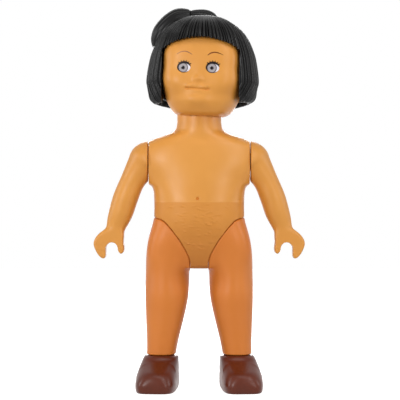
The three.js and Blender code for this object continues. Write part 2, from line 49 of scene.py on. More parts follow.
HIP_Z = JOINTS["left_hip"]["pos_m"][2] / MM
SHOULDER_X = JOINTS["left_shoulder"]["pos_m"][0] / MM
SHOULDER_Z = JOINTS["left_shoulder"]["pos_m"][2] / MM
NECK_Z = JOINTS["head_turn"]["pos_m"][2] / MM
SHOULDER_RISE = SHOULDER_Z - HIP_Z
NECK_RISE = NECK_Z - HIP_Z

# Fits, walls and pins, and a reach past the sides of every piece
FIT_GAP = 0.3
SEAM_GAP = 0.12
HIP_SIDE_GAP = 0.14
HIP_BEND_GAP = 0.36
WALL = 1.8
PIN_RADIUS = 2.5
BUSH_WALL = 1.6
AXLE_RADIUS = 2.0
BUSH_LENGTH = 8.0
REACH = 60.0
WHOLE = (-REACH, REACH)

# Shoes
STUD_PITCH = 16.0
STUD_RADIUS = 4.8
STUD_DEPTH = 5.0
STUD_AHEAD = 5.2
SHOE_FLOOR = 2.1
SHOE_HALF_WIDTH = 7.9
SHOE_OUTSET = 0.85
TOE_OUTSET = 1.2
SHOE_TOE = 17.65
SHOE_HEEL = 8.1
COLLAR_HEIGHT = 13.2
COLLAR_HALF_WIDTH = 5.7
# The edge of the toe cap, which is evened out
TOE_EDGE_SHARE = 0.55
TOE_EDGE_HALF = 3.2
TOE_EDGE_ROUNDS = 300
# The splay of the feet and the place of the ankle
FOOT_SPLAY = math.radians(4.2)
ANKLE_X = STUD_PITCH - SHOE_OUTSET * math.cos(FOOT_SPLAY) - STUD_AHEAD * math.sin(FOOT_SPLAY)

# Legs
PLUG_RADIUS = 4.1
ANKLE_HALF_WIDTH = 5.6
ANKLE_HALF_DEPTH = 5.7
KNEE_HALF_DEPTH = 7.2
THIGH_HALF_DEPTH = 8.6
THIGH_INNER = 3.4
THIGH_OUTER = 21.0
HIP_TOP_OUTER = 17.2
SEAT_BACK = 1.6
BOSS_LENGTH = 5.0

# Hip cut
CROTCH_HALF_WIDTH = 3.45
HIP_DISC_RADIUS = 7.7
HIP_FLARE = 14.4
HIP_RADIUS = 15.8
HIP_RIM_RADIUS = 14.6
# The thigh's top, which is evened out inside its edge
HIP_EDGE_KEPT = 0.6
HIP_DISC_MARGIN = 0.5
HIP_BLEND_RISE = 2
HIP_BLEND_HALF = 15
HIP_BLEND_ROUNDS = 220

# Torso
CROTCH_DROP = 5.0
CROTCH_HALF_DEPTH = 6.6
CROTCH_BEVEL = 1.1
BEVEL_SLOPE = 0.7
BEVEL_START = 4
TORSO_HALF_WIDTH = 17.5
BELLY_DEPTH = 12.2
BACK_DEPTH = 11.4
CHEST_DEPTH = 10.4
SHOULDER_SWELL = 24.0
NECK_RADIUS = 8.7
CAVITY_MARGIN = 1
PIN_BORE_START = 8
# Chest and back at the armpits, evened out between the flanks
ARMPIT_SHARE = 0.75
ARMPIT_HALF_HEIGHT = 5
FLANK_X = 16.5
FLANK_FADE = 3
FLANK_DEPTH = 4
FLANK_ROUNDS = 250

# Brief, with fine dashes in relief
BRIEF_RISE = 20.6
BRIEF_HEIGHT = 0.07
BRIEF_EDGE = 0.12
BRIEF_DEPTH = 5
DASHES = 110
DASH_MARGIN = 0.6
DASH_LOW_SHARE = 0.3
DASH_REACH = 3
DASH_REACH_SLOPE = 0.55
DASH_LENGTHS = (0.4, 1.1)
DASH_HEIGHTS = (-0.12, 0.26)
DASH_LEAN = 0.3
DASH_HALF_WIDTH = 0.22

# Arms
SHOULDER_RADIUS = 7.5
FOREARM_RADIUS = 4.7
WRIST_RADIUS = 3.9
ARM_REACH = 12.9
ARM_DROP = 25.6
ARM_PIN_DEPTH = 5.0
HAND_THICKNESS = 5.8
HAND_ROUNDING = 0.6
GRIP_RADIUS = 2.4
WRIST_SOFTNESS = 3.0
WRIST_ROUNDS = 90

# Head and hair
HEAD_TURN = math.radians(5)
HEAD_TILT = math.radians(1.5)
HEAD_SHIFT = 1.2
FACE_SHIFT = 0.9
CHIN_DROP = 4.2
SKULL_RISE = 32.0
FACE_HALF_WIDTH = 15.3
FACE_DEPTH = 15.9
SKULL_BACK = 15.8
HEAD_FLOOR = 2.6
HEAD_CAVITY_RADIUS = 10.0
SKULL_OPENING = 7.0
SKULL_ROOF = 6
HAIR_HEM = 0.9
HAIR_CROWN = 35.3
HAIR_HALF_WIDTH = 22.1
HAIR_FRONT = 17.6
HAIR_BACK = 19.25
NAPE_DROP = 1.8
NAPE_CLEARANCE = 11.6
HEM_SLOPE = 0.03
HEM_FADE = 3
STRANDS = 96
STRAND_POINTS = 10
STRAND_SPREAD = 1.3
STRAND_DEPTH = 0.9
STRAND_ROUNDNESS = 2.5
STRAND_CREASE = math.radians(50)
LOWEST_STRAND = 0.45
CROWN_FADE = 7
CURL_SHARE = 0.21
CURL_SWEEP = 0.24
CURL_STEP = 0.25
CURL_EDGE = 0.008
FRINGE_RISE = 24.9
FRINGE_END_RISE = 21.8
FRINGE_CORNER_SHARE = 0.2
FRINGE_CORNER_DROP = 0.6
SCALLOP_HEIGHT = 0.5
SCALLOP_RATE = 2.3
SCALLOP_SWAY = 0.9
SCALLOP_SWAY_RATE = 0.8
OPENING_HALF_WIDTH = 14.9
OPENING_POINTS = 240
TAIL_TIE_RADIUS = 2.5
TAIL_LOBE_RADIUS = 5.2
TAIL_BREADTH = 1.15
TAIL_LOCKS = 14
TAIL_LOCK_DEPTH = 0.06

# How square an oval is: 2 is a true ellipse
BODY_POWER = 2.3
FLANK_POWER = 2.45
FACE_POWER = 2.6
CHEEK_POWER = 3.8
THIGH_POWER = 2.6
LIMB_POWER = 2.15
ROUND_POWER = 2.0
SWING_POWER = 1.6
SHOE_POWER = 4.5
TOE_POWER = 2.8
HAIR_POWER = 2.2

# Fineness
RING_POINTS = 96
SPAN_STEPS = 8
COARSE_STEPS = 3
ROUND_POINTS = 64
VOXEL = 0.24
SHOE_VOXEL = 0.22

# Relief on the front: height, place across and up, half width and half height
NAVEL = (-1.2, -0.6, 21.9, 0.45, 0.45)
NOSE = (0.9, 0, 9.5, 1.3, 1.1)
NOSE_BRIDGE = (0.1, 0, 12.0, 1.4, 2.4)
NOSTRIL = (0.22, 1.6, 9.0, 0.7, 0.7)
RIGHT_UPPER_LIP = (0.7, -2.8, 6.6, 1.9, 0.8)
LEFT_UPPER_LIP = (0.62, 2.3, 6.35, 1.8, 0.75)
LOWER_LIP = (0.3, -0.5, 4.7, 2.6, 0.7)
RIGHT_MOUTH_CORNER = (-0.6, -4.5, 5.8, 0.6, 0.5)
LEFT_MOUTH_CORNER = (-0.6, 3.6, 5.45, 0.6, 0.5)
CHEEK = (0.8, 10.6, 7.0, 4.6, 4.4)
EYE_HOLLOW = (-0.25, 5.4, 13.6, 3.2, 2.6)

# Mouth and chin, measured from the middle of the face
MOUTH_X = -0.5
MOUTH_LINE = ((-5.4, 5.75), (-3.4, 5.6), (-1.2, 5.6), (0.8, 5.45), (2.6, 5.25), (4.2, 5.35))
MOUTH_HALF_WIDTH = 3.8
MOUTH_END_FADE = 0.25
MOUTH_DEPTH = 0.5
MOUTH_GROOVE = 0.26
CHIN_RISE = 1.2
CHIN_HALF_WIDTH = 5
CHIN_HALF_HEIGHT = 2.3

# Print on the face, measured from the middle of the face
EYE_SPREAD = 5.47
EYE_SHIFT = -0.2
EYE_RISE = 13.5
EYE_HALF_WIDTH = 2.42
EYE_HALF_HEIGHT = 1.86
EYE_UPPER_SHARE = 1.06
EYE_POINTS = 48
IRIS_RADIUS = 1.9
IRIS_OFFSET = (-0.4, -0.05)
# A painted highlight: a small white dot on each iris for the glint of a lamp
SPARK_RADIUS = 0.12
SPARK_OFFSET = (-0.5, 0.45)
PRINT_LIFT = 0.03
IRIS_LIFT = 1.6 * PRINT_LIFT
LID_LIFT = 2 * PRINT_LIFT
SPARK_LIFT = 2.2 * PRINT_LIFT

# Lids, as places round the eye in degrees with half widths, and lashes
UPPER_LID = ((14, 0.1), (40, 0.28), (75, 0.44), (110, 0.44), (145, 0.34), (180, 0.24), (205, 0.16))
UPPER_LID_GROWTH = 0.04
LOWER_LID = ((200, 0.18), (225, 0.15), (255, 0.13), (285, 0.1), (310, 0.05))
LOWER_LID_GROWTH = -0.02
LASHES = (38, 57, 76, 95, 114, 134)
LASH_LEAN = 3
LASH_LENGTH = 0.95
LASH_HALF_WIDTHS = (0.26, 0.19, 0.04)

# Brows, as places across and up with half widths
RIGHT_BROW = (
    (-8.6, 18.6, 0.06), (-6.8, 19.5, 0.13), (-5.0, 19.6, 0.16), (-3.2, 18.8, 0.12), (-2.6, 18.4, 0.04),
)
LEFT_BROW = (
    (3.2, 18.3, 0.12), (4.4, 19.1, 0.21), (5.9, 19.45, 0.2), (7.7, 19.1, 0.15), (9.1, 18.4, 0.06),
)

# Materials: tones from 0 to 255, and noise with the range that it mostly keeps to
SKIN_TONES = ((219, 147, 61), (225, 154, 67))
# The brief's tones: the darker one is painted shade, laid on towards the crotch
BRIEF_TONES_WITH_PAINTED_SHADE = ((193, 118, 42), (214, 140, 53))
BRIEF_DULLNESS = 0.14
BRIEF_CLOUDS = 0.3
GLOSS_SPREAD = 0.05
GRAIN_HEIGHT = 0.05
IRIS_WANDER = 0.05
NOISE_LOW = 0.3
NOISE_HIGH = 0.7
CLOUD_SCALE = 55
BRIEF_SCALE = 300
WEAR_SCALE = 240
GRAIN_SCALE = 2600
IRIS_SCALE = 1500

# Camera, worked out from the photograph's outline
CAMERA_DISTANCE = 520.0
CAMERA_HEIGHT = 73.4
CAMERA_X = 0.31
LENS = 120.0
SENSOR = 36.0

# Stage and light: each soft box has its place, its width and height, and its power in watts
FLOOR_HALF = 900
FLOOR_TONE = 0.5
FLOOR_SHOWN = 0.92
WORLD_LIGHT = 0.06
LIGHT_AIM = (0, 0, 90)
SOFTBOXES = {
    "key_light": ((-340, -540, 200), (140, 260), 1.6),
    "fill_light": ((340, -540, 180), (140, 260), 0.75),
    "high_light": ((300, -400, 470), (160, 200), 0.8),
    "top_light": ((0, -340, 580), (260, 180), 0.5),
    "left_side_light": ((-600, -60, 220), (150, 300), 1.05),
    "right_side_light": ((600, -60, 220), (150, 300), 0.75),
    "back_light": ((0, 600, 200), (260, 260), 1.9),
}

random = np.random.default_rng(7)


# Mesh making

def new_object(name, points, faces):
    mesh = bpy.data.meshes.new(name)
    mesh.from_pydata((np.asarray(points, float) * MM).tolist(), [], faces)
    mesh.validate()
    piece = bpy.data.objects.new(name, mesh)
    bpy.context.scene.collection.objects.link(piece)
    return piece


def smooth_rows(rows, steps):
    """Rows of numbers made smooth by a Catmull-Rom curve through them."""
    rows = np.asarray(rows, float)
    padded = np.vstack([rows[:1], rows, rows[-1:]])
    smooth = []
    for span in range(len(rows) - 1):
        before, start, end, after = padded[span:span + 4]
        slope_in = (end - before) / 2
        slope_out = (after - start) / 2
        for t in np.arange(steps) / steps:
            cubic = 2 * start - 2 * end + slope_in + slope_out
            square = 3 * end - 3 * start - 2 * slope_in - slope_out
            smooth.append(((cubic * t + square) * t + slope_in) * t + start)
    smooth.append(rows[-1])
    return np.array(smooth)


def full_turn(count):
    return 2 * np.pi * np.arange(count) / count


def unit(rows):
    """Directions brought to a length of 1."""
    return rows / np.linalg.norm(rows, axis=1)[:, None]


def oval(z, half_width, front, back, power, x=0.0, left_power=None, angle=None):
    """One level outline: a rounded oval with its own front and back depth and, if need be, left half."""
    if angle is None:
        angle = full_turn(RING_POINTS)
    rounding = 2 / np.where(np.cos(angle) > 0, left_power or power, power)
    across = np.sign(np.cos(angle)) * np.abs(np.cos(angle)) ** rounding
    along = np.sign(np.sin(angle)) * np.abs(np.sin(angle)) ** rounding
    depth = np.where(along < 0, front, back)
    return np.column_stack([x + half_width * across, depth * along, np.full(len(angle), z)])


def skin(name, rings):
    """A closed skin over rings of equally many points, with a flat face over each end."""
    rings = np.asarray(rings, float)
    total, count = rings.shape[:2]
    faces = [tuple(reversed(range(count))), tuple(range((total - 1) * count, total * count))]
    for ring in range(total - 1):
        for k in range(count):
            a = ring * count + k
            b = ring * count + (k + 1) % count
            faces.append((a, b, b + count, a + count))
    start, end = rings[:-1], rings[1:]
    start_next, end_next = np.roll(start, -1, axis=1), np.roll(end, -1, axis=1)
    volume = np.sum(start * (np.cross(start_next, end_next) + np.cross(end_next, end)))
    for ring, way in ((rings[0], -1), (rings[-1], 1)):
        volume += way * np.sum(ring[0] * np.cross(ring, np.roll(ring, -1, axis=0)))
    if volume < 0:
        faces = [tuple(reversed(face)) for face in faces]
    return new_object(name, rings.reshape(-1, 3), faces)


def rod(axis, radius, start, end, centre=(0, 0, 0)):
    """A round rod between two places along the X, Y or Z axis."""
    low, high = min(start, end), max(start, end)
    angle = full_turn(ROUND_POINTS)
    rings = []
    for place_along in (low, high):
        level = np.full(ROUND_POINTS, place_along)
        ring = np.column_stack([radius * np.cos(angle), radius * np.sin(angle), level])
        rings.append(np.roll(ring, {"x": 1, "y": 2, "z": 0}[axis], axis=1) + np.asarray(centre, float))
    return skin("rod", rings)


def block(x_range, y_range, z_range):
    points = [(x, y, z) for z in z_range for y in y_range for x in x_range]
    faces = [(0, 2, 3, 1), (4, 5, 7, 6), (0, 1, 5, 4), (2, 6, 7, 3), (0, 4, 6, 2), (1, 3, 7, 5)]
    return new_object("block", points, faces)


def bake(piece):
    """Applies the piece's modifiers to its mesh."""
    shown = piece.evaluated_get(bpy.context.evaluated_depsgraph_get())
    finished = bpy.data.meshes.new_from_object(shown)
    piece.modifiers.clear()
    piece.data = finished


def combine(piece, other, operation):
    """Joins another solid to the piece, cuts it away or keeps what both share; the other is used up."""
    modifier = piece.modifiers.new("combine", "BOOLEAN")
    modifier.operation = operation
    modifier.solver = "MANIFOLD"
    modifier.object = other
    bake(piece)
    bpy.data.objects.remove(other)
    return piece


def cut(piece, *others):
    for other in others:
        combine(piece, other, "DIFFERENCE")
    return piece


def moulded(piece, voxel=VOXEL, smoothing=6):
    """Rounds the edges of a cut solid, as a mould does."""
    remesh = piece.modifiers.new("remesh", "REMESH")
    remesh.mode = "VOXEL"
    remesh.voxel_size = voxel * MM
    remesh.use_smooth_shade = True
    smooth = piece.modifiers.new("smooth", "SMOOTH")
    smooth.factor = 0.5
    smooth.iterations = smoothing
    bake(piece)
    return piece


def read_vertices(piece, kind):
    values = np.zeros(len(piece.data.vertices) * 3)
    piece.data.vertices.foreach_get(kind, values)
    return values.reshape(-1, 3)


def points_of(piece):
    return read_vertices(piece, "co") / MM


def hill(x, z, height, at_x, at_z, wide, tall):
    """A soft rise about a place on the front, or a hollow where its height is below zero."""
    return height * np.exp(-((x - at_x) / wide) ** 2 - ((z - at_z) / tall) ** 2)


def band(place_along, middle, half):
    """A weight that is 1 about the middle and falls off quickly at half the band's breadth."""
    return np.exp(-((place_along - middle) / half) ** 4)


def set_points(piece, points):
    piece.data.vertices.foreach_set("co", (points * MM).ravel())
    piece.data.update()


def soften(piece, weight, rounds):
    """Evens out the skin where the weight of its points is high."""
    edges = np.zeros(len(piece.data.edges) * 2, int)
    piece.data.edges.foreach_get("vertices", edges)
    points = points_of(piece)
    beside = np.bincount(edges, minlength=len(points))
    weight = np.where(weight < 0.01, 0, weight)
    start, end = edges.reshape(-1, 2).T
    near = (weight[start] > 0) | (weight[end] > 0)
    start, end = start[near], end[near]
    for _ in range(rounds):
        total = np.zeros_like(points)
        for axis in range(3):
            total[:, axis] += np.bincount(start, points[end, axis], len(points))
            total[:, axis] += np.bincount(end, points[start, axis], len(points))
        points += (weight * 0.5)[:, None] * (total / beside[:, None] - points)
    set_points(piece, points)


def place(piece, x=0.0, z=0.0, turn=0.0):
    """Moves a piece from its own frame into the figure's frame."""
    matrix = Matrix.Translation(Vector((x, FIGURE_Y, z)) * MM) @ Matrix.Rotation(turn, 4, "Z")
    piece.data.transform(matrix)
    return piece


def hand_in(piece, name, body, material, nodes):
    """Names a finished piece, gives it its material and fixes it to its body in place of its nodes."""
    piece.name = name
    piece.data.materials.clear()
    piece.data.materials.append(material)
    piece.data.polygons.foreach_set("use_smooth", np.ones(len(piece.data.polygons), bool))
    piece.data.update()
    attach(piece, body)
    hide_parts(*nodes)


# Materials

def linear(red, green, blue):
    """A colour written as 0 to 255, in the renderer's linear scale."""
    def channel(value):
        value /= 255
        return value / 12.92 if value <= 0.04045 else ((value + 0.055) / 1.055) ** 2.4
    return (channel(red), channel(green), channel(blue), 1.0)


def new_material(name):
    material = bpy.data.materials.new(name)
    material.use_nodes = True
    tree = material.node_tree
    return material, tree, tree.nodes["Principled BSDF"]


def noise(tree, scale, detail):
    texture = tree.nodes.new("ShaderNodeTexNoise")
    texture.inputs["Scale"].default_value = scale
    texture.inputs["Detail"].default_value = detail
    coordinates = tree.nodes.new("ShaderNodeTexCoord")
    tree.links.new(coordinates.outputs["Object"], texture.inputs["Vector"])
    return texture.outputs["Fac"]


def ramp(tree, source, stops):
    node = tree.nodes.new("ShaderNodeValToRGB")
    node.color_ramp.elements[0].position = stops[0][0]
    node.color_ramp.elements[0].color = stops[0][1]
    node.color_ramp.elements[1].position = stops[-1][0]
    node.color_ramp.elements[1].color = stops[-1][1]
    for position, colour in stops[1:-1]:
        node.color_ramp.elements.new(position).color = colour
    tree.links.new(source, node.inputs["Fac"])
    return node


def spread(tree, source, low, high):
    """Stretches noise to a range of its own."""
    node = tree.nodes.new("ShaderNodeMapRange")
    node.inputs["From Min"].default_value = NOISE_LOW
    node.inputs["From Max"].default_value = NOISE_HIGH
    node.inputs["To Min"].default_value = low
    node.inputs["To Max"].default_value = high
    tree.links.new(source, node.inputs["Value"])
    return node.outputs["Result"]


def math_node(tree, operation, *values, kind="Math", output="Value"):
    """A sum or other operation on numbers, vectors and other nodes' outputs."""
    node = tree.nodes.new(f"ShaderNode{kind}")
    node.operation = operation
    for socket, value in zip(node.inputs, values):
        if isinstance(value, (int, float, tuple)):
            socket.default_value = value
        else:
            tree.links.new(value, socket)
    return node.outputs[output]


def moulded_plastic(name, darker, lighter, gloss, grain=0.05, shine=0.5):
    """Plastic with a cloudy colour, uneven gloss and the fine grain of the mould."""
    material, tree, shader = new_material(name)
    clouds = noise(tree, CLOUD_SCALE, 3)
    colour = ramp(tree, clouds, [(NOISE_LOW, linear(*darker)), (NOISE_HIGH, linear(*lighter))])
    tree.links.new(colour.outputs["Color"], shader.inputs["Base Color"])
    wear = noise(tree, WEAR_SCALE, 4)
    roughness = spread(tree, wear, gloss - GLOSS_SPREAD, gloss + GLOSS_SPREAD)
    tree.links.new(roughness, shader.inputs["Roughness"])
    shader.inputs["Specular IOR Level"].default_value = shine
    bump = tree.nodes.new("ShaderNodeBump")
    bump.inputs["Strength"].default_value = grain
    bump.inputs["Distance"].default_value = GRAIN_HEIGHT * MM
    tree.links.new(noise(tree, GRAIN_SCALE, 2), bump.inputs["Height"])
    tree.links.new(bump.outputs["Normal"], shader.inputs["Normal"])
    return material


def two_tone_plastic(name, upper, lower, gloss, shine):
    """The torso's plastic: smooth above the brief, duller on it, with painted shade darkening it towards the
    crotch.
    """
    material = moulded_plastic(name, *upper, gloss, shine=shine)
    tree = material.node_tree
    shader = tree.nodes["Principled BSDF"]
    upper_colour = shader.inputs["Base Color"].links[0].from_socket
    upper_roughness = shader.inputs["Roughness"].links[0].from_socket
    coordinates = tree.nodes.new("ShaderNodeTexCoord")
    split = tree.nodes.new("ShaderNodeSeparateXYZ")
    tree.links.new(coordinates.outputs["Object"], split.inputs["Vector"])
    height = split.outputs["Z"]
    mask = math_node(tree, "LESS_THAN", height, (HIP_Z + BRIEF_RISE) * MM)
    clouds = noise(tree, BRIEF_SCALE, 4)
    # Painted shade: the brief's colour darkens with falling height towards the crotch, over random clouds
    rise = math_node(tree, "MULTIPLY_ADD", height, 1 / (BRIEF_RISE * MM), -HIP_Z / BRIEF_RISE)
    shade = math_node(tree, "MULTIPLY_ADD", clouds, BRIEF_CLOUDS, rise)
    tone = ramp(tree, shade, [(0.0, linear(*lower[0])), (0.9, linear(*lower[1]))])
    dullness = math_node(tree, "MULTIPLY_ADD", mask, BRIEF_DULLNESS, upper_roughness)
    tree.links.new(dullness, shader.inputs["Roughness"])
    mix = tree.nodes.new("ShaderNodeMix")
    mix.data_type = "RGBA"
    tree.links.new(mask, mix.inputs["Factor"])
    tree.links.new(upper_colour, mix.inputs["A"])
    tree.links.new(tone.outputs["Color"], mix.inputs["B"])
    tree.links.new(mix.outputs["Result"], shader.inputs["Base Color"])
    return material


def iris_paint(name):
    """Print of an iris: dark pupil, grey ring with fine rays, dark rim."""
    material, tree, shader = new_material(name)
    coordinates = tree.nodes.new("ShaderNodeTexCoord")
    in_box = coordinates.outputs["Generated"]
    centred = math_node(tree, "SUBTRACT", in_box, (0.5, 0.5, 0.5), kind="VectorMath", output="Vector")
    flat = math_node(tree, "MULTIPLY", centred, (2, 0, 2), kind="VectorMath", output="Vector")
    radius = math_node(tree, "LENGTH", flat, kind="VectorMath")
    rays = noise(tree, IRIS_SCALE, 3)
    wander = spread(tree, rays, -IRIS_WANDER, IRIS_WANDER)
    distance = math_node(tree, "ADD", radius, wander)
    colour = ramp(tree, distance, [
        (0.24, linear(20, 14, 16)), (0.34, linear(96, 88, 92)), (0.46, linear(178, 172, 174)),
        (0.82, linear(166, 159, 163)), (0.9, linear(96, 84, 90)), (0.96, linear(26, 16, 18)),
    ])
    tree.links.new(colour.outputs["Color"], shader.inputs["Base Color"])
    shader.inputs["Roughness"].default_value = 0.3
    shader.inputs["Specular IOR Level"].default_value = 0.15
    return material


skin_plastic = moulded_plastic("skin_plastic", *SKIN_TONES, gloss=0.43, shine=0.42)
torso_plastic = two_tone_plastic("torso_plastic", SKIN_TONES, BRIEF_TONES_WITH_PAINTED_SHADE, gloss=0.4, shine=0.45)
leg_plastic = moulded_plastic("leg_plastic", (212, 121, 44), (218, 127, 48), gloss=0.46, shine=0.4)
hair_plastic = moulded_plastic("hair_plastic", (6, 5, 5), (11, 10, 10), gloss=0.3, shine=0.19)
shoe_plastic = moulded_plastic("shoe_plastic", (86, 31, 9), (97, 36, 12), gloss=0.34, grain=0.03, shine=0.3)
pin_plastic = moulded_plastic("pin_plastic", (228, 224, 214), (238, 234, 226), gloss=0.4)
iris_print = iris_paint("iris_print")
eye_white = moulded_plastic("eye_white", (222, 218, 226), (232, 228, 236), gloss=0.3)
lid_print = moulded_plastic("lid_print", (20, 12, 10), (30, 19, 16), gloss=0.35, shine=0.15)
brow_print = moulded_plastic("brow_print", (88, 36, 12), (104, 48, 20), gloss=0.4, shine=0.2)
pale_brow_print = moulded_plastic("pale_brow_print", (138, 80, 52), (150, 92, 62), gloss=0.4)


# Body forms, each in its own joint's frame

def hip_bend():
    """The bend of the hip cut: radius about the axle, and distance from the middle."""
    rise = HIP_RADIUS - HIP_DISC_RADIUS
    flare = HIP_FLARE - CROTCH_HALF_WIDTH
    return smooth_rows([
        (HIP_DISC_RADIUS, CROTCH_HALF_WIDTH),
        (HIP_DISC_RADIUS + rise * 0.2, CROTCH_HALF_WIDTH + flare * 0.17),
        (HIP_DISC_RADIUS + rise * 0.56, CROTCH_HALF_WIDTH + flare * 0.46),
        (HIP_DISC_RADIUS + rise * 0.89, CROTCH_HALF_WIDTH + flare * 0.77),
        (HIP_RADIUS, HIP_FLARE),
        (HIP_RIM_RADIUS, HIP_FLARE + flare * 0.33),
    ], SPAN_STEPS)


def hip_turning(side, bend_gap=0.0, side_gap=0.0):
    """The hip's turned surface on one side, drawn in by gaps on the leg, or grown for a wall."""
    profile = [(radius - bend_gap, x + side_gap) for radius, x in hip_bend()]
    profile.append((HIP_RIM_RADIUS - bend_gap, REACH))
    angle = full_turn(2 * ROUND_POINTS)
    rings = []
    for radius, x in profile:
        across = np.full(len(angle), side * x)
        rings.append(np.column_stack([across, radius * np.cos(angle), radius * np.sin(angle)]))
    return skin("hip_turning", rings)


def torso_form(inset, steps):
    """Trunk and neck, drawn in all round by an inset."""
    # Rows: height, half width, front depth, back depth, squareness; the trunk's are shares of its sizes
    trunk_sizes = (SHOULDER_RISE, TORSO_HALF_WIDTH, BELLY_DEPTH, BACK_DEPTH, 1)
    trunk = np.multiply(trunk_sizes, [
        (0, 0.8, 0.71, 0.79, BODY_POWER),
        (0.14, 0.95, 0.84, 0.93, BODY_POWER),
        (0.34, 1, 0.98, 1, BODY_POWER),
        (0.56, 1, 1, 0.94, BODY_POWER),
        (0.715, 1.035, 0.94, 0.9, FLANK_POWER),
    ])
    upper = NECK_RISE - SHOULDER_RISE
    rows = smooth_rows([
        (-CROTCH_DROP, TORSO_HALF_WIDTH * 0.5, CROTCH_HALF_DEPTH, CROTCH_HALF_DEPTH, BODY_POWER),
        *trunk,
        (SHOULDER_RISE * 0.785, (TORSO_HALF_WIDTH + SHOULDER_SWELL) / 2, CHEST_DEPTH * 1.09, CHEST_DEPTH,
         ROUND_POWER),
        (SHOULDER_RISE, SHOULDER_SWELL, CHEST_DEPTH, CHEST_DEPTH * 0.98, BODY_POWER),
        (SHOULDER_RISE + upper * 0.25, SHOULDER_SWELL * 0.955, CHEST_DEPTH * 0.91, CHEST_DEPTH * 0.9,
         BODY_POWER),
        (SHOULDER_RISE + upper * 0.39, SHOULDER_SWELL * 0.755, CHEST_DEPTH * 0.84, CHEST_DEPTH * 0.84,
         BODY_POWER),
        (SHOULDER_RISE + upper * 0.52, NECK_RADIUS * 1.22, NECK_RADIUS, NECK_RADIUS, ROUND_POWER),
        (SHOULDER_RISE + upper * 0.66, NECK_RADIUS, NECK_RADIUS, NECK_RADIUS, ROUND_POWER),
        (NECK_RISE, NECK_RADIUS, NECK_RADIUS, NECK_RADIUS, ROUND_POWER),
    ], steps)
    rings = [oval(z, w - inset, f - inset, b - inset, power) for z, w, f, b, power in rows]
    side = SHOULDER_X - inset
    clip = block((-side, side), WHOLE, (-REACH, NECK_RISE + REACH))
    return combine(skin("torso", rings), clip, "INTERSECT")


def make_torso():
    shell = torso_form(0, SPAN_STEPS)
    cavity = torso_form(WALL, COARSE_STEPS)
    cavity_floor = HIP_DISC_RADIUS + WALL + CAVITY_MARGIN
    neck_roof = NECK_RISE - 2 * WALL
    combine(cavity, block(WHOLE, WHOLE, (cavity_floor, neck_roof)), "INTERSECT")
    for side in (-1, 1):
        cut(cavity, hip_turning(side, -WALL, -WALL))
        cut(shell, hip_turning(side))
    cut(shell, cavity, rod("x", AXLE_RADIUS + FIT_GAP, -REACH, REACH))
    for side in (-1, 1):
        bore_range = (side * PIN_BORE_START, side * REACH)
        cut(shell, rod("x", PIN_RADIUS + FIT_GAP, *bore_range, (0, 0, SHOULDER_RISE)))
    cut(shell, rod("z", PIN_RADIUS + FIT_GAP, neck_roof - WALL, NECK_RISE + WALL))
    for name, side in (("front", -1), ("back", 1)):
        half = shell.copy()
        half.data = shell.data.copy()
        bpy.context.scene.collection.objects.link(half)
        space = block(WHOLE, sorted((side * SEAM_GAP / 2, side * REACH)), (-REACH, 2 * REACH))
        combine(half, space, "INTERSECT")
        moulded(half, smoothing=4)
        x, y, z = points_of(half).T
        under_arms = band(z, SHOULDER_RISE * ARMPIT_SHARE, ARMPIT_HALF_HEIGHT)
        under_arms *= np.clip((FLANK_X - np.abs(x)) / FLANK_FADE, 0, 1)
        soften(half, under_arms * (np.abs(y) > FLANK_DEPTH), FLANK_ROUNDS)
        mould_brief(half, side)
        place(half, z=HIP_Z)
        hand_in(half, f"torso_{name}_shell", "torso", torso_plastic, [f"torso_{name}"])
    bpy.data.objects.remove(shell)


def mould_brief(piece, side):
    """Raises the brief and its fine dashes a little, sinks the navel in front and bevels the crotch."""
    points = points_of(piece)
    normals = read_vertices(piece, "normal")
    x, y, z = points.T
    # Full where the skin faces outward, none at the seam and inside
    outside = np.clip(side * normals[:, 1] * 3, 0, 1) * (side * y > BRIEF_DEPTH)
    relief = BRIEF_HEIGHT / (1 + np.exp((z - BRIEF_RISE) / BRIEF_EDGE))
    for _ in range(DASHES):
        at_z = random.uniform(HIP_DISC_RADIUS * DASH_LOW_SHARE, BRIEF_RISE - DASH_MARGIN)
        reach = DASH_REACH + DASH_REACH_SLOPE * at_z
        at_x = random.uniform(-reach, reach)
        length = random.uniform(*DASH_LENGTHS)
        lean = random.uniform(-DASH_LEAN, DASH_LEAN)
        height = random.uniform(*DASH_HEIGHTS)
        relief += hill(x, z - lean * (x - at_x), height, at_x, at_z, length, DASH_HALF_WIDTH)
    if side < 0:
        relief += hill(x, z, *NAVEL)
    points += normals * (relief * outside)[:, None]
    bevel = np.clip(CROTCH_BEVEL - CROTCH_DROP - z, 0, CROTCH_BEVEL)
    points[:, 1] -= side * BEVEL_SLOPE * bevel * (side * y > BEVEL_START)
    set_points(piece, points)


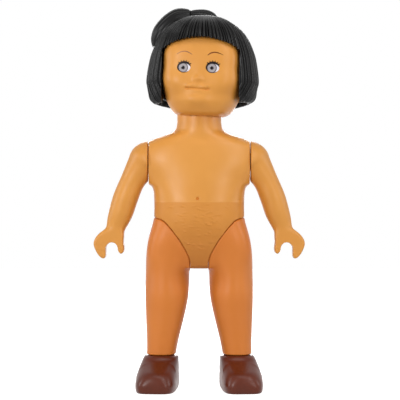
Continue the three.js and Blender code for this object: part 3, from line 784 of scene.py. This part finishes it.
def make_leg(side):
    ankle_drop = HIP_Z - COLLAR_HEIGHT - FIT_GAP
    top_rise = HIP_RADIUS * 1.02
    ankle_inner = ANKLE_X - ANKLE_HALF_WIDTH
    ankle_outer = ANKLE_X + ANKLE_HALF_WIDTH
    calf_inner = ANKLE_X - ANKLE_HALF_WIDTH * 1.2
    knee_power = (SWING_POWER + ROUND_POWER) / 2
    hip_outer = (THIGH_OUTER + HIP_TOP_OUTER) / 2 + 0.7
    # Rows: height, inner side, outer side, half depth, shift to the back, squareness
    rows = smooth_rows([
        (-ankle_drop, ankle_inner, ankle_outer, ANKLE_HALF_DEPTH, 0, LIMB_POWER),
        (-ankle_drop * 0.85, calf_inner, ankle_outer, ANKLE_HALF_DEPTH * 1.08, 0, LIMB_POWER),
        (-ankle_drop * 0.57, THIGH_INNER + 2, THIGH_OUTER - 0.2, KNEE_HALF_DEPTH, 0, ROUND_POWER),
        (-ankle_drop * 0.4, THIGH_INNER + 0.8, THIGH_OUTER, THIGH_HALF_DEPTH * 0.93, 0, knee_power),
        (-ankle_drop * 0.2, THIGH_INNER + 0.5, THIGH_OUTER, THIGH_HALF_DEPTH * 0.93, SEAT_BACK,
         SWING_POWER),
        (0, THIGH_INNER, THIGH_OUTER - 0.3, THIGH_HALF_DEPTH, 0, THIGH_POWER),
        (top_rise * 0.4, THIGH_INNER, hip_outer, THIGH_HALF_DEPTH * 1.1, 0, THIGH_POWER),
        (top_rise * 0.75, THIGH_INNER, HIP_TOP_OUTER + 1, THIGH_HALF_DEPTH * 1.07, 0, LIMB_POWER),
        (top_rise, THIGH_INNER, HIP_TOP_OUTER, THIGH_HALF_DEPTH * 1.05, 0, LIMB_POWER),
    ], SPAN_STEPS)
    rings = []
    for z, inner, outer, depth, behind, power in rows:
        outer_power = max(power, ROUND_POWER)
        right_power, left_power = (power, outer_power) if side > 0 else (outer_power, power)
        middle = side * (inner + outer) / 2
        ring = oval(z, (outer - inner) / 2, depth + behind, depth - behind, right_power, middle, left_power)
        rings.append(ring + (0, behind, 0))
    leg = skin("leg", rings)
    below = block(WHOLE, WHOLE, (-REACH, -HIP_DISC_RADIUS))
    swing_space = combine(hip_turning(side, HIP_BEND_GAP, HIP_SIDE_GAP), below, "UNION")
    combine(leg, swing_space, "INTERSECT")
    flush_top = torso_form(0, SPAN_STEPS)
    combine(flush_top, hip_turning(side, HIP_BEND_GAP, HIP_SIDE_GAP), "INTERSECT")
    combine(leg, flush_top, "UNION")
    plug_bottom = STUD_DEPTH + SHOE_FLOOR + FIT_GAP - HIP_Z
    combine(leg, rod("z", PLUG_RADIUS, plug_bottom, -ankle_drop + WALL, (side * ANKLE_X, 0, 0)), "UNION")
    boss_start = CROTCH_HALF_WIDTH + HIP_SIDE_GAP
    bore_radius = AXLE_RADIUS + 2 * FIT_GAP + BUSH_WALL
    boss_range = (side * boss_start, side * (boss_start + BOSS_LENGTH))
    combine(leg, rod("x", bore_radius + WALL, *boss_range), "UNION")
    cut(leg, rod("x", bore_radius, 0, side * (boss_start + FIT_GAP + BUSH_LENGTH)))
    moulded(leg, smoothing=4)
    x, y, z = points_of(leg).T
    radius, across = hip_bend().T
    inside = np.interp(side * x, across, radius) - np.hypot(y, z)
    off_edge = np.clip(inside - HIP_BEND_GAP - HIP_EDGE_KEPT, 0, 1)
    off_edge = np.where(z < -HIP_DISC_RADIUS - HIP_DISC_MARGIN, 1, off_edge)
    off_edge *= np.clip(side * x - CROTCH_HALF_WIDTH - HIP_EDGE_KEPT, 0, 1)
    soften(leg, off_edge * band(z, HIP_BLEND_RISE, HIP_BLEND_HALF), HIP_BLEND_ROUNDS)
    return place(leg, z=HIP_Z)


def make_shoe(side):
    welt_power = (SHOE_POWER + TOE_POWER) / 2
    ankle_width = SHOE_HALF_WIDTH * 0.4 + COLLAR_HALF_WIDTH * 0.6
    ankle_depth = COLLAR_HALF_WIDTH * 1.2
    # Rows: height, outset, half width, toe, heel, squareness; the sole's are shares of its sizes
    sole_sizes = (1, TOE_OUTSET, SHOE_HALF_WIDTH, SHOE_TOE, SHOE_HEEL, 1)
    sole = np.multiply(sole_sizes, [
        (0, 1, 0.94, 0.965, 0.94, SHOE_POWER),
        (STUD_DEPTH * 0.2, 1, 0.985, 0.99, 0.98, SHOE_POWER),
        (STUD_DEPTH * 0.62, 1, 1, 1, 1, SHOE_POWER),
        (COLLAR_HEIGHT * 0.4, 0.95, 1, 0.995, 1, welt_power),
        (COLLAR_HEIGHT * 0.5, 0.85, 0.985, 0.975, 1, TOE_POWER),
        (COLLAR_HEIGHT * 0.58, 0.7, 0.965, 0.92, 1, TOE_POWER),
        (COLLAR_HEIGHT * 0.67, 0.55, 0.94, 0.75, 0.96, TOE_POWER),
    ])
    rows = smooth_rows([
        *sole,
        (COLLAR_HEIGHT * 0.84, TOE_OUTSET * 0.25, SHOE_HALF_WIDTH * 0.88, COLLAR_HALF_WIDTH * 1.42,
         SHOE_HEEL * 0.92, TOE_POWER),
        (COLLAR_HEIGHT * 0.95, 0, ankle_width, ankle_depth, ankle_depth, BODY_POWER),
        (COLLAR_HEIGHT, 0, COLLAR_HALF_WIDTH, COLLAR_HALF_WIDTH * 1.06, COLLAR_HALF_WIDTH * 1.08, BODY_POWER),
    ], SPAN_STEPS)
    shoe = skin("shoe", [oval(z, w, f, b, power, side * x) for z, x, w, f, b, power in rows])
    cut(shoe, rod("z", STUD_RADIUS, -WALL, STUD_DEPTH, (side * SHOE_OUTSET, -STUD_AHEAD, 0)))
    cut(shoe, rod("z", PLUG_RADIUS + FIT_GAP, STUD_DEPTH + SHOE_FLOOR, COLLAR_HEIGHT + WALL))
    moulded(shoe, SHOE_VOXEL, smoothing=5)
    x, y, z = points_of(shoe).T
    toe_edge = band(z, COLLAR_HEIGHT * TOE_EDGE_SHARE, TOE_EDGE_HALF) * (y < -SHOE_HEEL)
    soften(shoe, toe_edge, TOE_EDGE_ROUNDS)
    return place(shoe, x=side * ANKLE_X, turn=side * FOOT_SPLAY)


def hand_form(side):
    """The flat clip hand seen from the front: a thick finger and a slim thumb round an open grip."""
    knuckle = ARM_REACH + 8.6
    grip_x = ARM_REACH + 1.5
    grip_z = -8.3
    grip_arc = []
    for degrees in (20, 60, 105, 150, 185):
        turn = math.radians(degrees)
        grip_arc.append((grip_x + GRIP_RADIUS * math.cos(turn), grip_z + GRIP_RADIUS * math.sin(turn)))
    finger = [
        (ARM_REACH + 3.4, -0.4), (knuckle - 1.4, -3.2), (knuckle, -6.3), (knuckle - 1, -9.5),
        (knuckle - 2.6, -11.7), (knuckle - 4.1, -12.3),
        (grip_x + GRIP_RADIUS, grip_z - 2.9), (grip_x + GRIP_RADIUS, grip_z - 1.2),
    ]
    thumb = [
        (grip_x - GRIP_RADIUS - 0.4, grip_z - 1.4), (ARM_REACH - 2, -10.5), (ARM_REACH - 3, -9.8),
        (ARM_REACH - 3.3, -8.2), (ARM_REACH - 3, -5.8), (ARM_REACH - 3.2, -2.4), (ARM_REACH - 2, 0),
    ]
    corners = [*finger, *grip_arc, *thumb]
    wrapped = [corners[-1], *corners, *corners[:2]]
    steps = 6
    outline = smooth_rows(wrapped, steps)[steps:-steps - 1]
    ahead = np.roll(outline, -1, axis=0) - np.roll(outline, 1, axis=0)
    inward = unit(np.column_stack([ahead[:, 1], -ahead[:, 0]]))
    flat_half = HAND_THICKNESS / 2 - HAND_ROUNDING
    rings = []
    for degrees in np.linspace(-90, 90, 9):
        lean = math.radians(degrees)
        ring = outline + inward * HAND_ROUNDING * (1 - math.cos(lean))
        depth = HAND_ROUNDING * math.sin(lean) + math.copysign(flat_half, degrees)
        rings.append(np.column_stack([side * ring[:, 0], np.full(len(ring), depth), ring[:, 1] - ARM_DROP]))
    return skin("hand", rings)


def make_arm(side):
    # Rows: place across, height, radius, share of the radius in depth
    rows = smooth_rows([
        (-3, 0.6, SHOULDER_RADIUS, 1),
        (ARM_REACH * 0.06, -0.1, SHOULDER_RADIUS, 1),
        (ARM_REACH * 0.23, -ARM_DROP * 0.09, SHOULDER_RADIUS * 0.81, 1),
        (ARM_REACH * 0.49, -ARM_DROP * 0.3, FOREARM_RADIUS * 1.03, 1),
        (ARM_REACH * 0.7, -ARM_DROP * 0.55, FOREARM_RADIUS * 1.04, 1),
        (ARM_REACH * 0.85, -ARM_DROP * 0.79, FOREARM_RADIUS, 0.92),
        (ARM_REACH, -ARM_DROP, WRIST_RADIUS, 0.8),
        (ARM_REACH * 1.07, -ARM_DROP * 1.13, WRIST_RADIUS * 0.7, 0.8),
    ], SPAN_STEPS)
    ahead = np.gradient(rows[:, :2], axis=0)
    across = unit(np.column_stack([ahead[:, 1], -ahead[:, 0]]))
    angle = full_turn(RING_POINTS)
    rings = []
    for (x, z, radius, depth_share), normal in zip(rows, across):
        offset = radius * np.cos(angle)
        depth = radius * depth_share * np.sin(angle)
        rings.append(np.column_stack([side * (x + normal[0] * offset), depth, z + normal[1] * offset]))
    arm = skin("arm", rings)
    outboard = block(sorted((side * FIT_GAP, side * REACH)), WHOLE, WHOLE)
    combine(arm, outboard, "INTERSECT")
    combine(arm, hand_form(side), "UNION")
    cut(arm, rod("x", PIN_RADIUS + FIT_GAP, 0, side * (ARM_PIN_DEPTH + 2 * FIT_GAP)))
    moulded(arm, smoothing=12)
    drop = points_of(arm)[:, 2] + ARM_DROP
    soften(arm, np.exp(-(drop / WRIST_SOFTNESS) ** 2), WRIST_ROUNDS)
    return place(arm, x=side * SHOULDER_X, z=SHOULDER_Z)


# Head

def tilt(piece, way=1):
    piece.data.transform(Matrix.Rotation(way * HEAD_TILT, 4, "Y"))
    return piece


def skull_form(grow, steps):
    """Face, jaw and skull, grown all round for the space inside the hair."""
    height = CHIN_DROP + SKULL_RISE
    # Rows: shares of height, half width, front depth and back depth, then squareness
    rows = smooth_rows([
        (0, 0.52, 0.66, 0.32, FACE_POWER),
        (0.035, 0.7, 0.83, 0.54, FACE_POWER),
        (0.13, 0.865, 0.945, 0.73, FACE_POWER),
        (0.23, 0.955, 0.98, 0.86, FACE_POWER),
        (0.37, 1, 1, 0.95, CHEEK_POWER),
        (0.5, 1, 0.98, 1, CHEEK_POWER),
        (0.67, 0.985, 0.96, 1, CHEEK_POWER),
        (0.83, 0.88, 0.88, 0.93, FACE_POWER),
        (0.94, 0.62, 0.64, 0.68, FACE_POWER),
        (1, 0.3, 0.3, 0.35, FACE_POWER),
    ], steps)
    rings = []
    for share, across, front, back, power in rows:
        z = -CHIN_DROP + share * height + (grow if share > 0.5 else -grow)
        half_width = FACE_HALF_WIDTH * across + grow
        front_depth = FACE_DEPTH * front + grow
        back_depth = SKULL_BACK * back + grow
        rings.append(oval(z, half_width, front_depth, back_depth, power, HEAD_SHIFT))
    return skin("skull", rings)


def mould_face(piece):
    """Moves the skin of the face in and out: nose, lips, chin, cheeks and eye hollows."""
    points = points_of(piece)
    normals = read_vertices(piece, "normal")
    x = points[:, 0] - FACE_SHIFT
    z = points[:, 2]
    # Full where the skin faces forward, none at the sides, the back and inside
    facing = np.clip(-normals[:, 1] * 2.5 - 0.2, 0, 1) * (points[:, 1] < -4)
    relief = np.zeros(len(points))
    for form in (NOSE, NOSE_BRIDGE, RIGHT_UPPER_LIP, LEFT_UPPER_LIP, LOWER_LIP):
        relief += hill(x, z, *form)
    chin_across = ((x - MOUTH_X) / CHIN_HALF_WIDTH) ** 4
    relief += np.exp(-chin_across - ((z - CHIN_RISE) / CHIN_HALF_HEIGHT) ** 2)
    mouth_line = np.interp(x, *np.transpose(MOUTH_LINE))
    mouth_end = 1 / (1 + np.exp((np.abs(x - MOUTH_X) - MOUTH_HALF_WIDTH) / MOUTH_END_FADE))
    relief -= MOUTH_DEPTH * np.exp(-((z - mouth_line) / MOUTH_GROOVE) ** 2) * mouth_end
    for form in (RIGHT_MOUTH_CORNER, LEFT_MOUTH_CORNER):
        relief += hill(x, z, *form)
    for side in (-1, 1):
        for form in (CHEEK, NOSTRIL, EYE_HOLLOW):
            relief += hill(side * x, z, *form)
    points[:, 1] -= relief * facing
    set_points(piece, points)


def make_head():
    head = tilt(skull_form(0, SPAN_STEPS))
    floor_top = FIT_GAP + HEAD_FLOOR
    cavity_top = SKULL_RISE - WALL - SKULL_ROOF
    cut(head, rod("z", NECK_RADIUS + FIT_GAP, -CHIN_DROP - REACH, FIT_GAP))
    cut(head, rod("z", HEAD_CAVITY_RADIUS, floor_top, cavity_top))
    cut(head, rod("z", SKULL_OPENING, cavity_top - WALL, SKULL_RISE + REACH))
    cut(head, rod("z", PIN_RADIUS + 2 * FIT_GAP + BUSH_WALL, 0, floor_top + WALL))
    moulded(head)
    tilt(head, -1)
    mould_face(head)
    prints = print_face(head)
    for piece in (head, *prints):
        tilt(piece)
        place(piece, z=NECK_Z, turn=-HEAD_TURN)
    return head, prints


# Face print

def lay(surface, flat, lift):
    """Lays flat points, across and up from the middle of the face, on its skin."""
    laid = []
    for x, z in flat:
        start = Vector((x + FACE_SHIFT, -REACH, z)) * MM
        hit = surface.ray_cast(start, Vector((0, 1, 0)))[0]
        laid.append((hit.x / MM, hit.y / MM - lift, hit.z / MM))
    return laid


def patch(name, surface, outline, middle, lift, rings=8):
    """A filled patch of print inside an outline."""
    outline = np.asarray(outline, float)
    count = len(outline)
    flat = [middle]
    faces = []
    for ring in range(1, rings + 1):
        flat.extend(middle + (outline - middle) * ring / rings)
        outer = 1 + (ring - 1) * count
        inner = outer - count
        for k in range(count):
            following = (k + 1) % count
            if ring == 1:
                faces.append((0, outer + k, outer + following))
            else:
                faces.append((inner + k, outer + k, outer + following, inner + following))
    return new_object(name, lay(surface, flat, lift), faces)


def line(name, surface, strokes, lift):
    """Painted lines, each given as rows of place and half width."""
    points = []
    faces = []
    for stroke in strokes:
        rows = smooth_rows(stroke, 8)
        ahead = np.gradient(rows[:, :2], axis=0)
        aside = unit(np.column_stack([-ahead[:, 1], ahead[:, 0]]))
        flat = []
        for (x, z, half), way in zip(rows, aside):
            flat.append((x + way[0] * half, z + way[1] * half))
            flat.append((x - way[0] * half, z - way[1] * half))
        first = len(points)
        points.extend(lay(surface, flat, lift))
        for k in range(len(rows) - 1):
            a = first + 2 * k
            faces.append((a, a + 1, a + 3, a + 2))
    return new_object(name, points, faces)


def circle(centre, radius, turns):
    return [centre + radius * np.array((math.cos(turn), math.sin(turn))) for turn in turns]


def eye_edge(turn, grow=0.0):
    """A place on the eye's outline, which is higher above than below."""
    height = EYE_HALF_HEIGHT * (1.0 if math.sin(turn) < 0 else EYE_UPPER_SHARE)
    return ((EYE_HALF_WIDTH + grow) * math.cos(turn), (height + grow) * math.sin(turn))


def lid_stroke(centre, rows, grow):
    return [(*(centre + eye_edge(math.radians(degrees), grow)), half) for degrees, half in rows]


def print_eye(name, surface, x):
    turns = full_turn(EYE_POINTS)
    centre = np.array((x, EYE_RISE))
    eye_outline = [centre + eye_edge(turn) for turn in turns]
    white = patch(f"{name}_eye_white", surface, eye_outline, centre, PRINT_LIFT)
    iris_centre = centre + IRIS_OFFSET
    iris_outline = circle(iris_centre, IRIS_RADIUS, turns)
    iris = patch(f"{name}_iris", surface, iris_outline, iris_centre, IRIS_LIFT)
    # Painted highlight: the white glint dot on the iris
    spark_centre = iris_centre + SPARK_OFFSET
    spark_outline = circle(spark_centre, SPARK_RADIUS, turns[::3])
    spark = patch(f"{name}_eye_spark", surface, spark_outline, spark_centre, SPARK_LIFT, rings=3)
    upper_lid = lid_stroke(centre, UPPER_LID, UPPER_LID_GROWTH)
    lower_lid = lid_stroke(centre, LOWER_LID, LOWER_LID_GROWTH)
    strokes = [upper_lid, lower_lid]
    for degrees in LASHES:
        root = centre + eye_edge(math.radians(degrees))
        tip = centre + eye_edge(math.radians(degrees - LASH_LEAN), LASH_LENGTH)
        places = (root, (root + tip) / 2, tip)
        strokes.append([(*at, half) for at, half in zip(places, LASH_HALF_WIDTHS)])
    lids = line(f"{name}_eye_lids", surface, strokes, LID_LIFT)
    return [(white, eye_white), (iris, iris_print), (spark, eye_white), (lids, lid_print)]


def print_face(head):
    """The painted eyes and brows; the right side is the viewer's left."""
    surface = BVHTree.FromPolygons([vertex.co for vertex in head.data.vertices],
                                   [tuple(polygon.vertices) for polygon in head.data.polygons])
    pieces = print_eye("right", surface, EYE_SHIFT - EYE_SPREAD)
    pieces += print_eye("left", surface, EYE_SHIFT + EYE_SPREAD)
    pieces.append((line("right_brow", surface, [RIGHT_BROW], PRINT_LIFT), pale_brow_print))
    pieces.append((line("left_brow", surface, [LEFT_BROW], PRINT_LIFT), brow_print))
    for piece, material in pieces:
        piece.data.materials.append(material)
    return [piece for piece, material in pieces]


# Hair

strand_widths = 1 + STRAND_SPREAD * random.random(STRANDS)
strand_edges = np.concatenate([[0], np.cumsum(strand_widths)]) * 2 * np.pi / strand_widths.sum()
strand_heights = LOWEST_STRAND + (1 - LOWEST_STRAND) * random.random(STRANDS)


def groove_depth(angle):
    """Depth below the highest strands, from 0 on a high strand to 1 between two strands."""
    angle = angle % (2 * np.pi)
    index = np.clip(np.searchsorted(strand_edges, angle, side="right") - 1, 0, STRANDS - 1)
    within = (angle - strand_edges[index]) / (strand_edges[index + 1] - strand_edges[index])
    return 1 - strand_heights[index] * (1 - (2 * np.abs(within - 0.5)) ** STRAND_ROUNDNESS)


def bob_form():
    """The bob: ovals from the hem to the crown, with grooves between strands that curl forward below."""
    height = HAIR_CROWN - HAIR_HEM
    # Rows: shares of height, half width, front depth and back depth
    rows = smooth_rows([
        (0.05, 0.76, 0.62, 0.78),
        (0, 0.84, 0.7, 0.86),
        (0.04, 0.935, 0.82, 0.95),
        (0.13, 0.98, 0.91, 0.99),
        (0.27, 1, 0.98, 1),
        (0.5, 0.945, 1, 1),
        (0.64, 0.87, 1, 0.96),
        (0.74, 0.79, 0.97, 0.89),
        (0.83, 0.68, 0.87, 0.77),
        (0.91, 0.52, 0.69, 0.58),
        (0.97, 0.33, 0.43, 0.36),
        (1, 0.1, 0.13, 0.1),
    ], 2 * SPAN_STEPS)
    root = full_turn(STRANDS * STRAND_POINTS)
    rings = []
    for share, across, front, back in rows:
        curl = max(0.0, 1 - share / CURL_SHARE)
        angle = root - CURL_SWEEP * np.cos(root) * curl
        z = HAIR_HEM + share * height
        half_width = HAIR_HALF_WIDTH * across
        ring = oval(z, half_width, HAIR_FRONT * front, HAIR_BACK * back, HAIR_POWER, angle=angle)
        length = np.linalg.norm(ring[:, :2], axis=1)
        depth = STRAND_DEPTH * groove_depth(root) * min(1.0, CROWN_FADE * (1 - share))
        depth += CURL_STEP * np.cos(angle) ** 2 / (1 + math.exp((share - CURL_SHARE) / CURL_EDGE))
        ring[:, :2] *= (1 - depth / length)[:, None]
        low = max(0.0, 1 - HEM_FADE * share)
        ring[:, 2] += HEM_SLOPE * ring[:, 0] * low - NAPE_DROP * np.clip(np.sin(angle), 0, 1) ** 2 * low
        ring[:, 0] += HEAD_SHIFT
        rings.append(ring)
    return skin("hair", rings)


def tail_form():
    """The tied tail: a rod of changing radius along a path over the crown, with locks as shallow grooves."""
    # Rows: place across and behind, rise above the crown, and share of the radius
    tie = [
        (8.2, 7, -4.4, 0.5),
        (6.8, 7.3, -2.8, 1.06),
        (4.3, 8, -1.6, 1),
        (2.6, 8.4, -0.3, 1.22),
        (0, 9, 0.5, 1.27),
        (-3.9, 9.4, 0.9, 1.04),
        (-4.4, 9.4, 0.8, 0.88),
        (-4.9, 9.5, 0.6, 1.2),
    ]
    lobe = [
        (-9.8, 10, -0.65, 0.92),
        (-14.7, 10, -5, 0.96),
        (-17.5, 10, -8.8, 0.73),
        (-18.8, 9.5, -11.8, 0.3),
    ]
    places = []
    for part, part_radius in ((tie, TAIL_TIE_RADIUS), (lobe, TAIL_LOBE_RADIUS)):
        places += [(x, y, HAIR_CROWN + rise, part_radius * share) for x, y, rise, share in part]
    rows = smooth_rows(places, SPAN_STEPS)
    path = rows[:, :3]
    ahead = unit(np.gradient(path, axis=0))
    upward = unit(np.cross(ahead, (0, 1, 0)))
    sideways = np.cross(upward, ahead)
    angle = full_turn(RING_POINTS)
    waves = 0.5 + 0.5 * np.cos(TAIL_LOCKS * angle + 1.5 * np.sin(2 * angle))
    locks = 1 - TAIL_LOCK_DEPTH * waves ** 3
    rings = []
    for centre, radius, up, aside in zip(path, rows[:, 3], upward, sideways):
        ring = np.outer(radius * locks * np.cos(angle), up)
        ring += np.outer(TAIL_BREADTH * radius * locks * np.sin(angle), aside)
        rings.append(centre + ring)
    return skin("tail", rings)


def face_opening():
    """The space in front of the face: an arched, slightly scalloped fringe above, straight locks beside."""
    x = np.linspace(-OPENING_HALF_WIDTH, OPENING_HALF_WIDTH, OPENING_POINTS)
    share = np.abs(x) / OPENING_HALF_WIDTH
    corner_start = 1 - FRINGE_CORNER_SHARE
    fall = FRINGE_RISE - FRINGE_END_RISE - FRINGE_CORNER_DROP
    arch = FRINGE_RISE - fall * (share / corner_start) ** 2
    corner = np.clip((share - corner_start) / FRINGE_CORNER_SHARE, 0, 1)
    arch -= FRINGE_CORNER_DROP * corner ** 2
    sway = SCALLOP_SWAY * np.sin(SCALLOP_SWAY_RATE * x)
    arch += SCALLOP_HEIGHT * np.abs(np.sin(x * SCALLOP_RATE + sway))
    upper = np.column_stack([x + HEAD_SHIFT, arch])
    lower = [(OPENING_HALF_WIDTH + HEAD_SHIFT, -REACH), (-OPENING_HALF_WIDTH + HEAD_SHIFT, -REACH)]
    outline = np.vstack([upper, lower])
    rings = []
    for depth in (-REACH, 0):
        rings.append(np.column_stack([outline[:, 0], np.full(len(outline), depth), outline[:, 1]]))
    return skin("face_opening", rings)


def make_hair():
    hair = combine(bob_form(), tail_form(), "UNION")
    cut(hair, face_opening(), skull_form(FIT_GAP, COARSE_STEPS))
    tilt(hair)
    return cut(hair, rod("z", NAPE_CLEARANCE, -REACH, CHIN_DROP + WALL))


make_torso()
for name, side in (("left", 1), ("right", -1)):
    hand_in(make_leg(side), f"{name}_leg_moulding", f"{name}_leg", leg_plastic, [f"{name}_leg"])
    hand_in(make_shoe(side), f"{name}_shoe_moulding", f"{name}_leg", shoe_plastic, [f"{name}_shoe"])
    hand_in(make_arm(side), f"{name}_arm_moulding", f"{name}_arm", skin_plastic, [f"{name}_arm"])
head, face_prints = make_head()
for piece in face_prints:
    piece.data.polygons.foreach_set("use_smooth", np.ones(len(piece.data.polygons), bool))
    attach(piece, "head")
hair = place(make_hair(), z=NECK_Z, turn=-HEAD_TURN)
hair.data.set_sharp_from_angle(angle=STRAND_CREASE)
hand_in(head, "head_moulding", "head", skin_plastic, ["head"])
hand_in(hair, "hair_moulding", "head", hair_plastic, ["hair"])

for name, node in frame["nodes"].items():
    if name.endswith(("_pin", "_bush", "_axle")):
        node.data.materials.clear()
        node.data.materials.append(pin_plastic)


# Stage, light and camera

def seen_strength(tree, light, shown):
    """One strength for the light that falls on things, another for what the eye and reflections see."""
    rays = tree.nodes.new("ShaderNodeLightPath")
    seen = rays.outputs["Is Camera Ray"]
    for kind in ("Is Glossy Ray", "Is Transmission Ray"):
        seen = math_node(tree, "MAXIMUM", seen, rays.outputs[kind])
    strength = tree.nodes.new("ShaderNodeMapRange")
    strength.inputs["To Min"].default_value = light
    strength.inputs["To Max"].default_value = shown
    tree.links.new(seen, strength.inputs["Value"])
    return strength.outputs["Result"]


def make_stage():
    half = FLOOR_HALF
    corners = [(-half, -half, 0), (half, -half, 0), (half, half, 0), (-half, half, 0)]
    floor = new_object("floor", corners, [(0, 1, 2, 3)])
    material, tree, shader = new_material("pale_floor")
    shader.inputs["Base Color"].default_value = (FLOOR_TONE, FLOOR_TONE, FLOOR_TONE, 1)
    shader.inputs["Roughness"].default_value = 0.8
    shader.inputs["Emission Color"].default_value = (1, 1, 1, 1)
    strength = seen_strength(tree, 0.0, FLOOR_SHOWN)
    tree.links.new(strength, shader.inputs["Emission Strength"])
    floor.data.materials.append(material)


def make_world():
    world = bpy.data.worlds.new("studio")
    bpy.context.scene.world = world
    world.use_nodes = True
    tree = world.node_tree
    background = tree.nodes["Background"]
    background.inputs["Color"].default_value = (1, 1, 1, 1)
    strength = seen_strength(tree, WORLD_LIGHT, 1.0)
    tree.links.new(strength, background.inputs["Strength"])


def add_softbox(name, place_mm, size_mm, power):
    lamp = bpy.data.lights.new(name, "AREA")
    lamp.shape = "RECTANGLE"
    lamp.size = size_mm[0] * MM
    lamp.size_y = size_mm[1] * MM
    lamp.energy = power
    holder = bpy.data.objects.new(name, lamp)
    holder.location = Vector(place_mm) * MM
    aim = Vector(LIGHT_AIM) * MM - holder.location
    holder.rotation_euler = aim.to_track_quat("-Z", "Y").to_euler()
    bpy.context.scene.collection.objects.link(holder)


def add_camera():
    camera = bpy.data.cameras.new("camera")
    camera.lens = LENS
    camera.sensor_width = SENSOR
    camera.clip_start = 0.01
    holder = bpy.data.objects.new("camera", camera)
    holder.location = Vector((CAMERA_X, FIGURE_Y - CAMERA_DISTANCE, CAMERA_HEIGHT)) * MM
    holder.rotation_euler = (math.radians(90), 0, 0)
    bpy.context.scene.collection.objects.link(holder)
    bpy.context.scene.camera = holder


make_stage()
make_world()
for name, settings in SOFTBOXES.items():
    add_softbox(name, *settings)
add_camera()
bpy.context.scene.view_settings.view_transform = "Standard"
